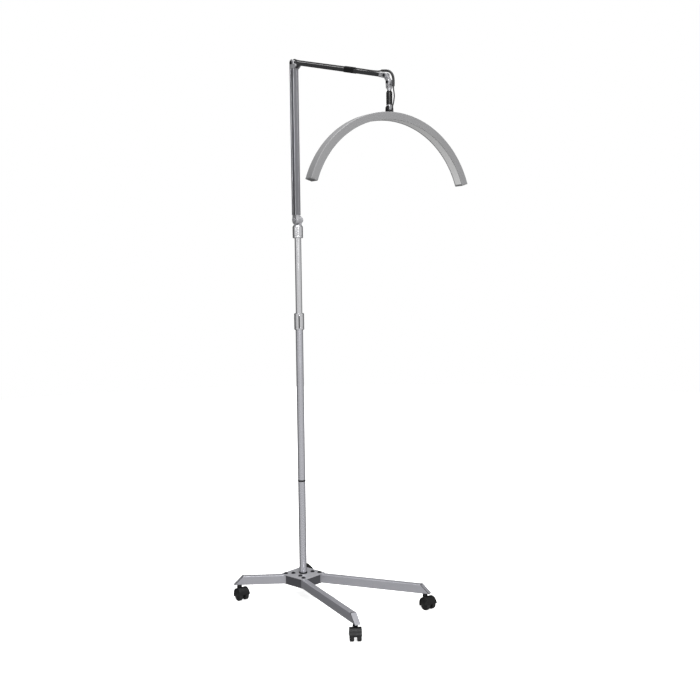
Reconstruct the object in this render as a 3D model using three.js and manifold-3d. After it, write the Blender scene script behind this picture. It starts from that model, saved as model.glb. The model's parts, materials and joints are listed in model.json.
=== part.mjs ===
// An arc-shaped examination lamp on a rolling stand, in millimetres with +Z up.
// It is laid out around the column's axis, +X towards the two long legs, and moved at the
// end so that the origin is the middle of the footprint at floor level.
import * as THREE from 'three';
import { mergeVertices } from 'three/addons/utils/BufferGeometryUtils.js';
import Module from 'manifold-3d';

const wasm = await Module();
wasm.setup();

// ---------------------------------------------------------------- driving dimensions

const GAP = 0.3; // left between pieces that touch
const ROUND = 24; // sides of an ordinary round piece

// stand
const LEG = { width: 20, height: 30, wall: 1.5, underside: 51, tip: 16 };
const FRONT_LEG = { inner: [6.4, 26.6], stem: [393, 178] };
const REAR_LEG = { inner: [-17, 17], stem: [-156, 156] };
const HUB = { size: 100, bottom: 50, plate: 108, plateThickness: 3, corner: 4 };
const SCREW = { places: [10, 36], shank: 2.5, hole: 2.8, head: 5, headHeight: 3.5 };
const CASTER = { wheel: 20, width: 37.2, web: 8.4, hood: 24, well: 21.5, trail: 15, axle: 3, stem: 5 };
const CASTER_HEADING = { front_left: -12, front_right: -46, rear_left: 60, rear_right: -12 };

// column
const POLE = { outer: 12.5, inner: 11.3, joint: 407, spigot: 118, top: 949 };
const UPPER_POLE = { outer: 11, inner: 9.8, bottom: 694, top: 1256 };
const CLAMP = { bottom: 929, top: 985, outer: 16.75, slotWidth: 4, slotAzimuth: -46 };
const COLLAR = { bottom: 1237.5, top: 1278.5, outer: 17.35 };

// arms
const ARM_AZIMUTH = -10.8; // degrees from +X
const HINGE = { height: 1298, disc: 15.5, cheek: 10, bolt: 4 };
const ARM = { width: 22, wall: 1.5, offset: -5, bottom: 1315, top: 1791.7 };
const ELBOW = { height: 1813, cheek: 4.6, bolt: 3, head: 5.6 };
const BOOM = { size: 12, wall: 1.3, slope: 13.35, start: 16.3, end: 459.8, pivot: 485.8 };
const LEAD = { radius: 2.3, sleeve: 3.8, thin: 1.9 };

// head
const LINK = { x: 14, z: -21, end: 7.6, thickness: 8, cheek: 3.4, bolt: 2.5, head: 4.4 };
const NECK = { web: -10.5, taper: -18, rod: 4.5, rodEnd: -59.5 };
const GRIP = { outer: 9, inner: 4.8, top: -25.5, bottom: -65.5 };
const TILT = { below: -76, tongue: 6.5, tongueWidth: 9, cheek: 5, pin: 2 };

// lamp
const LAMP = { azimuth: -17.6, radius: 289, thickness: 22, depth: 36, wall: 2, halfAngle: 72.2, above: 11.5 };
const BUTTON = { radius: 4.5, angle: 10, below: 11, proud: 1.5 };

// ---------------------------------------------------------------- worked-out values

const LEG_TOP = LEG.underside + LEG.height;
const PLATE_BOTTOM = LEG_TOP + GAP;
const PLATE_TOP = PLATE_BOTTOM + HUB.plateThickness;
const FOOT_TOP = PLATE_TOP + GAP + 5;
const SPIGOT = POLE.inner - GAP;
const ARM_PLUG = ARM.width / 2 - ARM.wall - GAP;
const LAMP_CENTRE = -LAMP.above - LAMP.radius; // height of the arc's centre, from the tilt pin

// ---------------------------------------------------------------- finishes

const FINISHES = {
  greyPaint: { color: 0xa9a8b0, metalness: 0.35, roughness: 0.42 },
  hubPaint: { color: 0x7d7c84, metalness: 0.35, roughness: 0.5 },
  plateMetal: { color: 0xb4b4ba, metalness: 0.8, roughness: 0.35 },
  polishedSteel: { color: 0xd4d4d8, metalness: 1.0, roughness: 0.16 },
  armAluminium: { color: 0x9b9ba2, metalness: 0.85, roughness: 0.34 },
  castMetal: { color: 0xa6a6aa, metalness: 0.9, roughness: 0.38 },
  boomPaint: { color: 0x3b3b3f, metalness: 0.3, roughness: 0.45 },
  lampPaint: { color: 0x8f8f93, metalness: 0.5, roughness: 0.4 },
  blackPlastic: { color: 0x141415, metalness: 0.0, roughness: 0.4 },
  blackRubber: { color: 0x1a1a1a, metalness: 0.0, roughness: 0.65 },
  boltSteel: { color: 0x4a4a4e, metalness: 0.9, roughness: 0.3 },
  whiteDiffuser: { color: 0xf2f2f0, metalness: 0.0, roughness: 0.5 },
  stripBoard: { color: 0xe8e4c8, metalness: 0.0, roughness: 0.6 },
};

function piece(name, finish, geometry) {
  const mesh = new THREE.Mesh(geometry, new THREE.MeshStandardMaterial(FINISHES[finish]));
  mesh.name = name;
  return mesh;
}

// ---------------------------------------------------------------- joining and cutting

function solid(geometry) {
  const bare = geometry.clone();
  bare.deleteAttribute('normal');
  bare.deleteAttribute('uv');
  const merged = mergeVertices(bare, 1e-4);
  const corners = merged.index.array;
  const kept = [];
  for (let i = 0; i < corners.length; i += 3) {
    const [a, b, c] = [corners[i], corners[i + 1], corners[i + 2]];
    if (a !== b && b !== c && c !== a) kept.push(a, b, c);
  }
  return new wasm.Manifold(new wasm.Mesh({
    numProp: 3,
    vertProperties: new Float32Array(merged.attributes.position.array),
    triVerts: new Uint32Array(kept),
  }));
}

function surface(shape) {
  const { vertProperties, triVerts } = shape.getMesh();
  const geometry = new THREE.BufferGeometry();
  geometry.setAttribute('position', new THREE.BufferAttribute(vertProperties, 3));
  geometry.setIndex(new THREE.BufferAttribute(triVerts, 1));
  geometry.computeVertexNormals();
  return geometry;
}

function join(...geometries) {
  return surface(geometries.map(solid).reduce((sum, next) => sum.add(next)));
}

function cut(body, ...tools) {
  return surface(tools.map(solid).reduce((rest, tool) => rest.subtract(tool), solid(body)));
}

// ---------------------------------------------------------------- basic shapes

function block(x0, x1, y0, y1, z0, z1) {
  const box = new THREE.BoxGeometry(x1 - x0, y1 - y0, z1 - z0);
  return box.translate((x0 + x1) / 2, (y0 + y1) / 2, (z0 + z1) / 2);
}

// a profile of [radius, height] turned about Z; it runs anticlockwise, bottom to top outside
function turned(profile, sides = ROUND) {
  const points = profile.map(([radius, height]) => new THREE.Vector2(radius, height));
  return new THREE.LatheGeometry(points, sides).rotateX(Math.PI / 2);
}

// the same about Y, the way that the arms' bolts lie
function turnedAlongY(profile, sides = ROUND) {
  const points = profile.map(([radius, along]) => new THREE.Vector2(radius, along));
  return new THREE.LatheGeometry(points, sides);
}

function rod(radius, z0, z1, sides = ROUND) {
  return turned([[0, z0], [radius, z0], [radius, z1], [0, z1]], sides);
}

function rodAlongY(radius, y0, y1, sides = ROUND) {
  return turnedAlongY([[0, y0], [radius, y0], [radius, y1], [0, y1]], sides);
}

function ring(inner, outer, z0, z1, sides = ROUND) {
  return turned([[inner, z0], [outer, z0], [outer, z1], [inner, z1], [inner, z0]], sides);
}

// a flat outline in X and Z, given its thickness from y0 to y1
function plateAlongY(outline, y0, y1, curveSegments = 8) {
  const plate = new THREE.ExtrudeGeometry(outline, { depth: y1 - y0, bevelEnabled: false, curveSegments });
  return plate.rotateX(Math.PI / 2).translate(0, y1, 0);
}

function outlineOf(points) {
  return new THREE.Shape(points.map(([x, z]) => new THREE.Vector2(x, z)));
}

// a square tube's outline with small rounded corners
function squareOutline(size, corner) {
  const h = size / 2;
  const shape = new THREE.Shape();
  shape.absarc(h - corner, -h + corner, corner, -Math.PI / 2, 0, false);
  shape.absarc(h - corner, h - corner, corner, 0, Math.PI / 2, false);
  shape.absarc(-h + corner, h - corner, corner, Math.PI / 2, Math.PI, false);
  shape.absarc(-h + corner, -h + corner, corner, Math.PI, Math.PI * 1.5, false);
  return shape;
}

function squareTube(size, wall, length) {
  const outline = squareOutline(size, wall);
  const hole = new THREE.Path(squareOutline(size - 2 * wall, wall / 3).getPoints(1));
  outline.holes.push(hole);
  return new THREE.ExtrudeGeometry(outline, { depth: length, bevelEnabled: false, curveSegments: 1 });
}

// a bolt along Y with a flat head at each end, as its nut shows too
function boltAlongY(shank, head, halfLength, headHeight) {
  const inner = halfLength - headHeight;
  return turnedAlongY([
    [0, -halfLength], [head - 0.6, -halfLength], [head, -halfLength + 0.6], [head, -inner], [shank, -inner],
    [shank, inner], [head, inner], [head, halfLength - 0.6], [head - 0.6, halfLength], [0, halfLength],
  ], 12);
}

// a cable along a smooth curve through chosen points
function cable(points, radius, steps, sides = 8) {
  const section = [];
  for (let i = 0; i < sides; i += 1) {
    const angle = (2 * Math.PI * i) / sides;
    section.push(new THREE.Vector2(radius * Math.cos(angle), radius * Math.sin(angle)));
  }
  const extrudePath = new THREE.CatmullRomCurve3(points.map((p) => new THREE.Vector3(...p)));
  return new THREE.ExtrudeGeometry(new THREE.Shape(section), { steps, bevelEnabled: false, extrudePath });
}

// ---------------------------------------------------------------- stand

// a leg's own frame: X along the leg from its inner end, Z up, both still at floor height
function legPlace({ inner, stem }, side) {
  const run = [stem[0] - inner[0], side * (stem[1] - inner[1])];
  return {
    x: inner[0],
    y: side * inner[1],
    angle: Math.atan2(run[1], run[0]),
    reach: Math.hypot(...run),
  };
}

function inLegPlace(object, place) {
  object.position.set(place.x, place.y, 0);
  object.rotation.z = place.angle;
  return object;
}

function legTube(reach) {
  const end = reach + LEG.tip;
  const half = LEG.width / 2;
  const side = outlineOf([[0, LEG.underside], [end, LEG.underside], [end - LEG.height, LEG_TOP], [0, LEG_TOP]]);
  const inside = block(-1, end + 1, -half + LEG.wall, half - LEG.wall, LEG.underside + LEG.wall, LEG_TOP - LEG.wall);
  const screwHoles = SCREW.places.map((x) => rod(SCREW.hole, LEG_TOP - 3, LEG_TOP + 1, 8).translate(x, 0, 0));
  const stemHole = rod(CASTER.stem + GAP, LEG.underside - 1, LEG.underside + 3, 16).translate(reach, 0, 0);
  return cut(plateAlongY(side, -half, half), inside, stemHole, ...screwHoles);
}

// the cap closes the slanting end and has a plug that goes into the tube
function legCap(reach) {
  const end = reach + LEG.tip + GAP;
  const half = LEG.width / 2;
  const plugHalf = half - LEG.wall - GAP;
  const low = LEG.underside + LEG.wall + GAP;
  const high = LEG_TOP - LEG.wall - GAP;
  const slant = (z, shift) => [end - (z - LEG.underside) + shift, z];
  const face = outlineOf([
    slant(LEG.underside, 0), slant(LEG.underside, 2.8), slant(LEG_TOP, 2.8), slant(LEG_TOP, 0),
  ]);
  const plug = outlineOf([slant(low, -5), slant(low, 1), slant(high, 1), slant(high, -5)]);
  return join(plateAlongY(face, -half, half), plateAlongY(plug, -plugHalf, plugHalf));
}

// two socket-head screws from above into a nut strip inside the leg
function legScrews() {
  const underHead = PLATE_TOP + GAP;
  const top = underHead + SCREW.headHeight;
  const stripTop = LEG_TOP - LEG.wall - GAP;
  const [first, last] = SCREW.places;
  const strip = block(first - 7, last + 7, -6, 6, stripTop - 3, stripTop);
  const screws = SCREW.places.map((x) => cut(
    turned([
      [0, stripTop - 2], [SCREW.shank, stripTop - 2], [SCREW.shank, underHead], [SCREW.head, underHead],
      [SCREW.head, top - 0.7], [SCREW.head - 0.7, top], [0, top],
    ], 12),
    rod(2.2, top - 2, top + 1, 6),
  ).translate(x, 0, 0));
  return join(strip, ...screws);
}

function hubBlock(places) {
  const half = HUB.size / 2;
  const pocketHalf = LEG.width / 2 + GAP;
  const pockets = places.map(({ x, y, angle }) => (
    block(-GAP, HUB.size, -pocketHalf, pocketHalf, LEG.underside - GAP, LEG_TOP + 5)
      .rotateZ(angle).translate(x, y, 0)
  ));
  const studHole = rod(5.4, HUB.bottom - 1, LEG_TOP + 1, 16);
  return cut(block(-half, half, -half, half, HUB.bottom, LEG_TOP), studHole, ...pockets);
}

function hubTopPlate(places) {
  const outline = squareOutline(HUB.plate, HUB.corner);
  const plate = new THREE.ExtrudeGeometry(outline, {
    depth: HUB.plateThickness, bevelEnabled: false, curveSegments: 2,
  }).translate(0, 0, PLATE_BOTTOM);
  const screwHoles = places.flatMap(({ x, y, angle }) => SCREW.places.map((along) => (
    rod(SCREW.hole, PLATE_BOTTOM - 1, PLATE_TOP + 1, 8)
      .translate(x + along * Math.cos(angle), y + along * Math.sin(angle), 0)
  )));
  return cut(plate, rod(5.4, PLATE_BOTTOM - 1, PLATE_TOP + 1, 12), ...screwHoles);
}

// ---------------------------------------------------------------- casters

// X is the trailing direction, the swivel axis is at the origin, Z is measured from the floor
function casterFork() {
  const { hood, well, width, web, trail, wheel, axle, stem } = CASTER;
  const halfWidth = width / 2 + 0.6;
  const fender = new THREE.Shape();
  fender.moveTo(trail, wheel);
  fender.absarc(trail, wheel, hood, THREE.MathUtils.degToRad(8), THREE.MathUtils.degToRad(205), false);
  fender.closePath();
  const shell = plateAlongY(fender, -halfWidth, halfWidth, 7);
  const boss = rod(8.5, 34, LEG.underside - GAP, 16);
  const wells = [[web / 2, 30], [-30, -web / 2]].map(([y0, y1]) => (
    rodAlongY(well, y0, y1, 28).translate(trail, 0, wheel)
  ));
  const cheek = rodAlongY(8, -web / 2, web / 2, 16).translate(trail, 0, wheel);
  const pin = rod(stem, LEG.underside - 5, LEG.underside + 5, 12);
  const axleHole = rodAlongY(axle + GAP, -30, 30, 12).translate(trail, 0, wheel);
  return cut(join(cut(join(shell, boss), ...wells), cheek, pin), axleHole);
}

// two wheels pressed on one axle
function casterWheels() {
  const { wheel, width, web, axle } = CASTER;
  const out = width / 2;
  const inn = web / 2 + 0.6;
  return turnedAlongY([
    [0, -out + 1.5], [8, -out + 1.5], [9.5, -out], [wheel - 3, -out], [wheel, -out + 2.5], [wheel, -inn - 2],
    [wheel - 2, -inn], [axle, -inn], [axle, inn], [wheel - 2, inn], [wheel, inn + 2], [wheel, out - 2.5],
    [wheel - 3, out], [9.5, out], [8, out - 1.5], [0, out - 1.5],
  ], 18).translate(CASTER.trail, 0, CASTER.wheel);
}

function caster(corner, x, y) {
  const group = new THREE.Group();
  group.add(piece(`caster_fork_${corner}`, 'blackPlastic', casterFork()));
  group.add(piece(`caster_wheels_${corner}`, 'blackRubber', casterWheels()));
  group.position.set(x, y, 0);
  group.rotation.z = THREE.MathUtils.degToRad(CASTER_HEADING[corner]);
  return group;
}

function stand() {
  const group = new THREE.Group();
  const corners = {
    front_left: legPlace(FRONT_LEG, 1),
    front_right: legPlace(FRONT_LEG, -1),
    rear_left: legPlace(REAR_LEG, 1),
    rear_right: legPlace(REAR_LEG, -1),
  };
  const places = Object.values(corners);
  group.add(piece('hub_block', 'hubPaint', hubBlock(places)));
  group.add(piece('hub_top_plate', 'plateMetal', hubTopPlate(places)));
  for (const [corner, place] of Object.entries(corners)) {
    const leg = new THREE.Group();
    leg.add(piece(`leg_${corner}`, 'greyPaint', legTube(place.reach)));
    leg.add(piece(`leg_cap_${corner}`, 'greyPaint', legCap(place.reach)));
    leg.add(piece(`leg_screws_${corner}`, 'boltSteel', legScrews()));
    group.add(inLegPlace(leg, place));
    const stem = corner.startsWith('front') ? FRONT_LEG.stem : REAR_LEG.stem;
    group.add(caster(corner, stem[0], corner.endsWith('left') ? stem[1] : -stem[1]));
  }
  return group;
}

// ---------------------------------------------------------------- column

function poleFoot() {
  const under = PLATE_TOP + GAP;
  return turned([
    [0, HUB.bottom + 5], [5, HUB.bottom + 5], [5, under], [14.5, under], [14.5, FOOT_TOP],
    [SPIGOT, FOOT_TOP], [SPIGOT, POLE.spigot - 1], [SPIGOT - 1, POLE.spigot], [0, POLE.spigot],
  ]);
}

// a ring between the two lower poles with a spigot into each
function poleJoint() {
  const low = POLE.joint + GAP;
  const high = low + 5;
  return turned([
    [0, low - 27], [SPIGOT, low - 27], [SPIGOT, low], [13.2, low], [13.2, high],
    [SPIGOT, high], [SPIGOT, high + 22], [0, high + 22],
  ]);
}

// the clamp's body grips the upper pole and stands on top of the middle one
function clampBody() {
  const step = POLE.top + GAP;
  return turned([
    [12.8, CLAMP.bottom + 5], [14.2, CLAMP.bottom + 5], [14.2, CLAMP.top - 7], [11.3, CLAMP.top - 7],
    [11.3, step], [12.8, step], [12.8, CLAMP.bottom + 5],
  ]);
}

// the split sleeve that is turned to lock the height
function clampSleeve() {
  const { bottom, top, outer, slotWidth, slotAzimuth } = CLAMP;
  const sleeve = turned([
    [12.8, bottom], [outer - 1.25, bottom], [outer, bottom + 2.5], [outer, top - 2.5], [outer - 1.25, top],
    [11.4, top], [11.4, top - 6.4], [14.5, top - 6.4], [14.5, bottom + 4.7], [12.8, bottom + 4.7], [12.8, bottom],
  ]);
  const slot = block(5, 25, -slotWidth / 2, slotWidth / 2, bottom - 1, top + 1);
  return cut(sleeve, slot.rotateZ(THREE.MathUtils.degToRad(slotAzimuth)));
}

function topCollar() {
  const { bottom, top, outer } = COLLAR;
  const step = UPPER_POLE.top + GAP;
  return turned([
    [11.3, bottom], [outer - 1, bottom], [outer, bottom + 1], [outer, top - 1.5], [outer - 1.5, top],
    [8.4, top], [8.4, step], [11.3, step], [11.3, bottom],
  ]);
}

function guideBush() {
  const end = UPPER_POLE.bottom - GAP;
  return turned([[0, end - 9], [11, end - 9], [11, end], [9.5, end], [9.5, end + 20], [0, end + 20]]);
}

function column() {
  const group = new THREE.Group();
  group.add(piece('pole_foot', 'blackPlastic', poleFoot()));
  group.add(piece('lower_pole', 'greyPaint', ring(POLE.inner, POLE.outer, FOOT_TOP + GAP, POLE.joint)));
  group.add(piece('pole_joint', 'blackPlastic', poleJoint()));
  const middleBottom = POLE.joint + 2 * GAP + 5;
  group.add(piece('middle_pole', 'greyPaint', ring(POLE.inner, POLE.outer, middleBottom, POLE.top)));
  group.add(piece('clamp_body', 'blackPlastic', clampBody()));
  group.add(piece('clamp_sleeve', 'castMetal', clampSleeve()));
  const { inner, outer, bottom, top } = UPPER_POLE;
  group.add(piece('upper_pole', 'polishedSteel', ring(inner, outer, bottom, top)));
  group.add(piece('guide_bush', 'blackPlastic', guideBush()));
  group.add(piece('top_collar', 'polishedSteel', topCollar()));
  return group;
}

// ---------------------------------------------------------------- turret and lower arm

// from here on X points along the arms and Y is across them
function hingeYoke() {
  const { height, disc, cheek, bolt } = HINGE;
  const spigot = turned([
    [0, UPPER_POLE.top + 2], [8, UPPER_POLE.top + 2], [8, COLLAR.top + GAP], [14.5, COLLAR.top + GAP],
    [14.5, COLLAR.top + 2], [13.3, COLLAR.top + 3.3], [0, COLLAR.top + 3.3],
  ]);
  const face = rodAlongY(disc, GAP, cheek, 28).translate(0, 0, height);
  const web = plateAlongY(outlineOf([
    [-11, COLLAR.top + 2], [11, COLLAR.top + 2], [12, height - 6], [-12, height - 6],
  ]), GAP, cheek);
  const hole = rodAlongY(bolt + GAP, -5, 20, 16).translate(0, 0, height);
  return cut(join(spigot, face, web), hole);
}

function lowerArmFoot() {
  const { height, disc, bolt } = HINGE;
  const outside = ARM.offset - 8.5;
  const half = ARM.width / 2;
  const face = rodAlongY(disc, outside, -GAP, 28).translate(0, 0, height);
  const shoulder = block(-half, half, outside, -GAP, height + 6, ARM.bottom - GAP);
  const plug = block(
    -ARM_PLUG, ARM_PLUG, ARM.offset - ARM_PLUG, ARM.offset + ARM_PLUG, ARM.bottom - 1, ARM.bottom + 24,
  );
  const neck = block(-ARM_PLUG, ARM_PLUG, outside + 0.3, -GAP, ARM.bottom - 8, ARM.bottom);
  const hole = rodAlongY(bolt + GAP, outside - 1, 1, 16).translate(0, 0, height);
  return cut(join(face, shoulder, neck, plug), hole);
}

function hingeBolt() {
  const headFace = ARM.offset - 8.5 - GAP;
  return turnedAlongY([
    [0, headFace - 3.2], [6.6, headFace - 3.2], [7.5, headFace - 2.2], [7.5, headFace],
    [HINGE.bolt, headFace], [HINGE.bolt, 14], [0, 14],
  ]).translate(0, 0, HINGE.height);
}

function hingeKnob() {
  const near = HINGE.cheek + GAP;
  const body = turnedAlongY([
    [0, 14.4], [HINGE.bolt + GAP, 14.4], [HINGE.bolt + GAP, near], [10, near], [10, near + 6],
    [8.5, near + 7.5], [0, near + 7.5],
  ]);
  const flutes = [];
  for (let i = 0; i < 8; i += 1) {
    const angle = (Math.PI * i) / 4;
    flutes.push(rodAlongY(2, near - 1, near + 9, 8).translate(11 * Math.cos(angle), 0, 11 * Math.sin(angle)));
  }
  return cut(body, ...flutes).translate(0, 0, HINGE.height);
}

function lowerArmTube() {
  const tube = squareTube(ARM.width, ARM.wall, ARM.top - ARM.bottom).translate(0, ARM.offset, ARM.bottom);
  const inletHole = turnedAlongY([[0, 0], [4.3, 0], [4.3, 20], [0, 20]], 16).rotateZ(Math.PI / 2)
    .translate(0, ARM.offset, ARM.bottom + 60);
  return cut(tube, inletHole);
}

// a low-voltage socket in the rear wall of the tube
function powerInlet() {
  const wallOutside = ARM.width / 2;
  const body = turnedAlongY([
    [2.6, wallOutside - 9], [4, wallOutside - 9], [4, wallOutside + GAP], [6, wallOutside + GAP],
    [6, wallOutside + 1.6], [5.4, wallOutside + 2.2], [2.6, wallOutside + 2.2], [2.6, wallOutside - 9],
  ], 16);
  return body.rotateZ(Math.PI / 2).translate(0, ARM.offset, ARM.bottom + 60);
}

function elbowFork() {
  const { height, cheek, bolt } = ELBOW;
  const base = ARM.top + GAP;
  const half = ARM.width / 2;
  const side = new THREE.Shape();
  side.moveTo(-half, base);
  side.lineTo(13, base);
  side.lineTo(25, height - 14);
  side.lineTo(25, height - 9.5);
  side.lineTo(half, height - 3);
  side.absarc(0, height, half, 0, Math.PI, false);
  side.closePath();
  const cheeks = [[-half, -half + cheek], [half - cheek, half]].map(([y0, y1]) => plateAlongY(side, y0, y1));
  const shoulder = block(-half, half - 2, -half, half, base, base + 2.5); // the boom comes down past it
  const plug = block(-ARM_PLUG, ARM_PLUG, -ARM_PLUG, ARM_PLUG, base - 22, base + 1);
  const boltHole = rodAlongY(bolt + GAP, -20, 20, 16).translate(0, 0, height);
  const leadHole = rod(3.6, base - 30, base + 10, 12).translate(-4.4, 0, 0);
  return cut(join(plug, shoulder, ...cheeks), boltHole, leadHole).translate(0, ARM.offset, 0);
}

function elbowBolt() {
  const halfLength = ARM.width / 2 + GAP + 2.6;
  return boltAlongY(ELBOW.bolt, ELBOW.head, halfLength, 2.6).translate(0, ARM.offset, ELBOW.height);
}

// ---------------------------------------------------------------- boom

// the boom's own frame: the elbow pivot is the origin and X runs down its slope
const BOOM_LEAD_HEIGHT = BOOM.size / 2 + GAP + LEAD.radius + 0.2;
const BOOM_LEAD_ROUTE = [
  [-9.9, 0, 1], [-6.5, 0, 8], [1, 0, 10.9], [13, 0, 9.9], [28, 0, BOOM_LEAD_HEIGHT + 0.2],
  [50, 0, BOOM_LEAD_HEIGHT], [130, 0, BOOM_LEAD_HEIGHT], [240, 0, BOOM_LEAD_HEIGHT],
  [350, 0, BOOM_LEAD_HEIGHT], [440, 0, BOOM_LEAD_HEIGHT], [453, 0, 10], [462, 0, 12.1],
];

function boomHeel() {
  const half = BOOM.size / 2;
  const plugHalf = half - BOOM.wall - GAP;
  const tongue = join(
    rodAlongY(half, -half, half, 20),
    block(0, BOOM.start - GAP, -half, half, -half, half),
    block(BOOM.start - 1, BOOM.start + 26, -plugHalf, plugHalf, -plugHalf, plugHalf),
  );
  return cut(tongue, rodAlongY(ELBOW.bolt + GAP, -20, 20, 16));
}

function boomTube() {
  const tube = squareTube(BOOM.size, BOOM.wall, BOOM.end - BOOM.start);
  return tube.rotateY(Math.PI / 2).translate(BOOM.start, 0, 0);
}

// the two cheeks that hold the head link
function boomFork() {
  const near = LINK.thickness / 2 + 0.4;
  const out = near + LINK.cheek;
  const plugHalf = BOOM.size / 2 - BOOM.wall - GAP;
  const front = BOOM.pivot - LINK.end - 3;
  const side = new THREE.Shape();
  side.moveTo(front - 4, -7);
  side.lineTo(BOOM.pivot, -8);
  side.absarc(BOOM.pivot, 0, 8, -Math.PI / 2, Math.PI / 2, false);
  side.lineTo(front - 4, 7);
  side.closePath();
  const body = join(
    block(BOOM.end - 24, BOOM.end + 2, -plugHalf, plugHalf, -plugHalf, plugHalf),
    block(BOOM.end + GAP, front, -out, out, -7, 7),
    plateAlongY(side, near, out),
    plateAlongY(side, -out, -near),
  );
  return cut(body, rodAlongY(LINK.bolt + GAP, -20, 20, 16).translate(BOOM.pivot, 0, 0));
}

function headBolt() {
  const halfLength = LINK.thickness / 2 + 0.4 + LINK.cheek + GAP + 2.2;
  return boltAlongY(LINK.bolt, LINK.head, halfLength, 2.2);
}

// ---------------------------------------------------------------- head

// measured from the pivot at the end of the boom
const SLEEVE_ROUTE = [
  [-19.3, 0, 17.1], [-12, 0, 15.9], [-3, 0.2, 14.6], [6, 0.8, 12.8], [15, 2, 9.2], [21.5, 3.4, 3.2],
  [25.5, 4.6, -5], [27.2, 5, -14], [27.6, 5, -24], [27, 5, -34],
];
// measured from the lower head pivot
const LAMP_LEAD_ROUTE = [
  [13, 5, -13.4], [13.6, 5.2, -22], [15.6, 5.5, -34], [16.7, 5.1, -43.6], [15.6, 3, -60], [13.2, 1.2, -71],
  [12.15, 0.57, -77.5],
];

function headLink() {
  const half = LINK.thickness / 2;
  const length = Math.hypot(LINK.x, LINK.z);
  const bar = join(
    rodAlongY(LINK.end, -half, half, 20),
    block(0, length, -half, half, -LINK.end, LINK.end),
    rodAlongY(LINK.end, -half, half, 20).translate(length, 0, 0),
  );
  const holes = [0, length].map((x) => rodAlongY(LINK.bolt + GAP, -20, 20, 16).translate(x, 0, 0));
  return cut(bar, ...holes).rotateY(Math.atan2(-LINK.z, LINK.x));
}

function neck() {
  const near = LINK.thickness / 2 + 0.4;
  const out = near + LINK.cheek;
  const side = new THREE.Shape();
  side.moveTo(-6.5, NECK.taper);
  side.lineTo(6.5, NECK.taper);
  side.lineTo(8, 0);
  side.absarc(0, 0, 8, 0, Math.PI, false);
  side.closePath();
  const body = join(
    plateAlongY(side, near, out),
    plateAlongY(side, -out, -near),
    block(-6.5, 6.5, -out, out, NECK.taper, NECK.web),
    turned([
      [0, NECK.rodEnd], [NECK.rod, NECK.rodEnd], [NECK.rod, GRIP.top + 1], [6, GRIP.top + 1],
      [8, NECK.taper], [8, NECK.taper + 1], [0, NECK.taper + 1],
    ]),
  );
  return cut(body, rodAlongY(LINK.bolt + GAP, -20, 20, 16));
}

function grip() {
  const { inner, outer, top, bottom } = GRIP;
  return turned([
    [inner, bottom], [outer, bottom], [outer, top - 4], [outer - 1.4, top], [inner, top], [inner, bottom],
  ]);
}

function tiltTongue() {
  const flangeTop = GRIP.bottom - GAP;
  const half = TILT.tongueWidth / 2;
  const stem = turned([
    [0, flangeTop - 2.7], [8.2, flangeTop - 2.7], [8.2, flangeTop], [NECK.rod, flangeTop],
    [NECK.rod, NECK.rodEnd - GAP], [0, NECK.rodEnd - GAP],
  ]);
  const blade = join(
    block(-TILT.tongue, TILT.tongue, -half, half, TILT.below, flangeTop - 1),
    rodAlongY(TILT.tongue, -half, half, 20).translate(0, 0, TILT.below),
  );
  return cut(join(stem, blade), rodAlongY(TILT.pin + GAP, -20, 20, 12).translate(0, 0, TILT.below));
}

// ---------------------------------------------------------------- lamp

// the lamp's own frame: the tilt pin is the origin, X is the way it faces, Y runs along the chord
function arc(inner, outer, from, to, x0, x1, steps) {
  const start = THREE.MathUtils.degToRad(90 - to);
  const end = THREE.MathUtils.degToRad(90 - from);
  const band = new THREE.Shape();
  band.absarc(0, LAMP_CENTRE, outer, start, end, false);
  band.absarc(0, LAMP_CENTRE, inner, end, start, true);
  band.closePath();
  const flat = new THREE.ExtrudeGeometry(band, {
    depth: x1 - x0, bevelEnabled: false, curveSegments: Math.ceil(steps / 2),
  });
  const across = new THREE.Matrix4().makeBasis(
    new THREE.Vector3(0, 1, 0), new THREE.Vector3(0, 0, 1), new THREE.Vector3(1, 0, 0),
  );
  return flat.applyMatrix4(across).translate(x0, 0, 0);
}

function symmetricArc(inner, outer, halfAngle, halfDepth, steps) {
  return arc(inner, outer, -halfAngle, halfAngle, -halfDepth, halfDepth, steps);
}

const CAP_ANGLE = 0.6; // degrees of arc that each end cap takes
const HOUSING_HALF_ANGLE = LAMP.halfAngle - CAP_ANGLE;
const INNER_RADIUS = LAMP.radius - LAMP.thickness;
const BUTTON_PLACE = [
  (LAMP.radius - BUTTON.below) * Math.sin(THREE.MathUtils.degToRad(BUTTON.angle)),
  LAMP_CENTRE + (LAMP.radius - BUTTON.below) * Math.cos(THREE.MathUtils.degToRad(BUTTON.angle)),
];

function rodAlongX(radius, x0, x1, [y, z], sides = 16) {
  return rodAlongY(radius, x0, x1, sides).rotateZ(-Math.PI / 2).translate(0, y, z);
}

function lampHousing() {
  const { radius, wall, depth } = LAMP;
  const steps = 26;
  const whole = symmetricArc(INNER_RADIUS, radius, HOUSING_HALF_ANGLE, depth / 2, steps);
  const channel = symmetricArc(INNER_RADIUS - 2, radius - wall, HOUSING_HALF_ANGLE + 2, depth / 2 - wall, steps);
  const buttonHole = rodAlongX(BUTTON.radius + GAP, -depth / 2 - 1, -depth / 2 + wall + 1, BUTTON_PLACE);
  return cut(whole, channel, buttonHole);
}

function diffuser() {
  const halfDepth = LAMP.depth / 2 - LAMP.wall - GAP;
  return symmetricArc(INNER_RADIUS + 0.6, INNER_RADIUS + 2.8, LAMP.halfAngle - 1.2, halfDepth, 26);
}

function ledStrip() {
  return symmetricArc(LAMP.radius - 4.4, LAMP.radius - 2.8, LAMP.halfAngle - 2.5, 8, 26);
}

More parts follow.
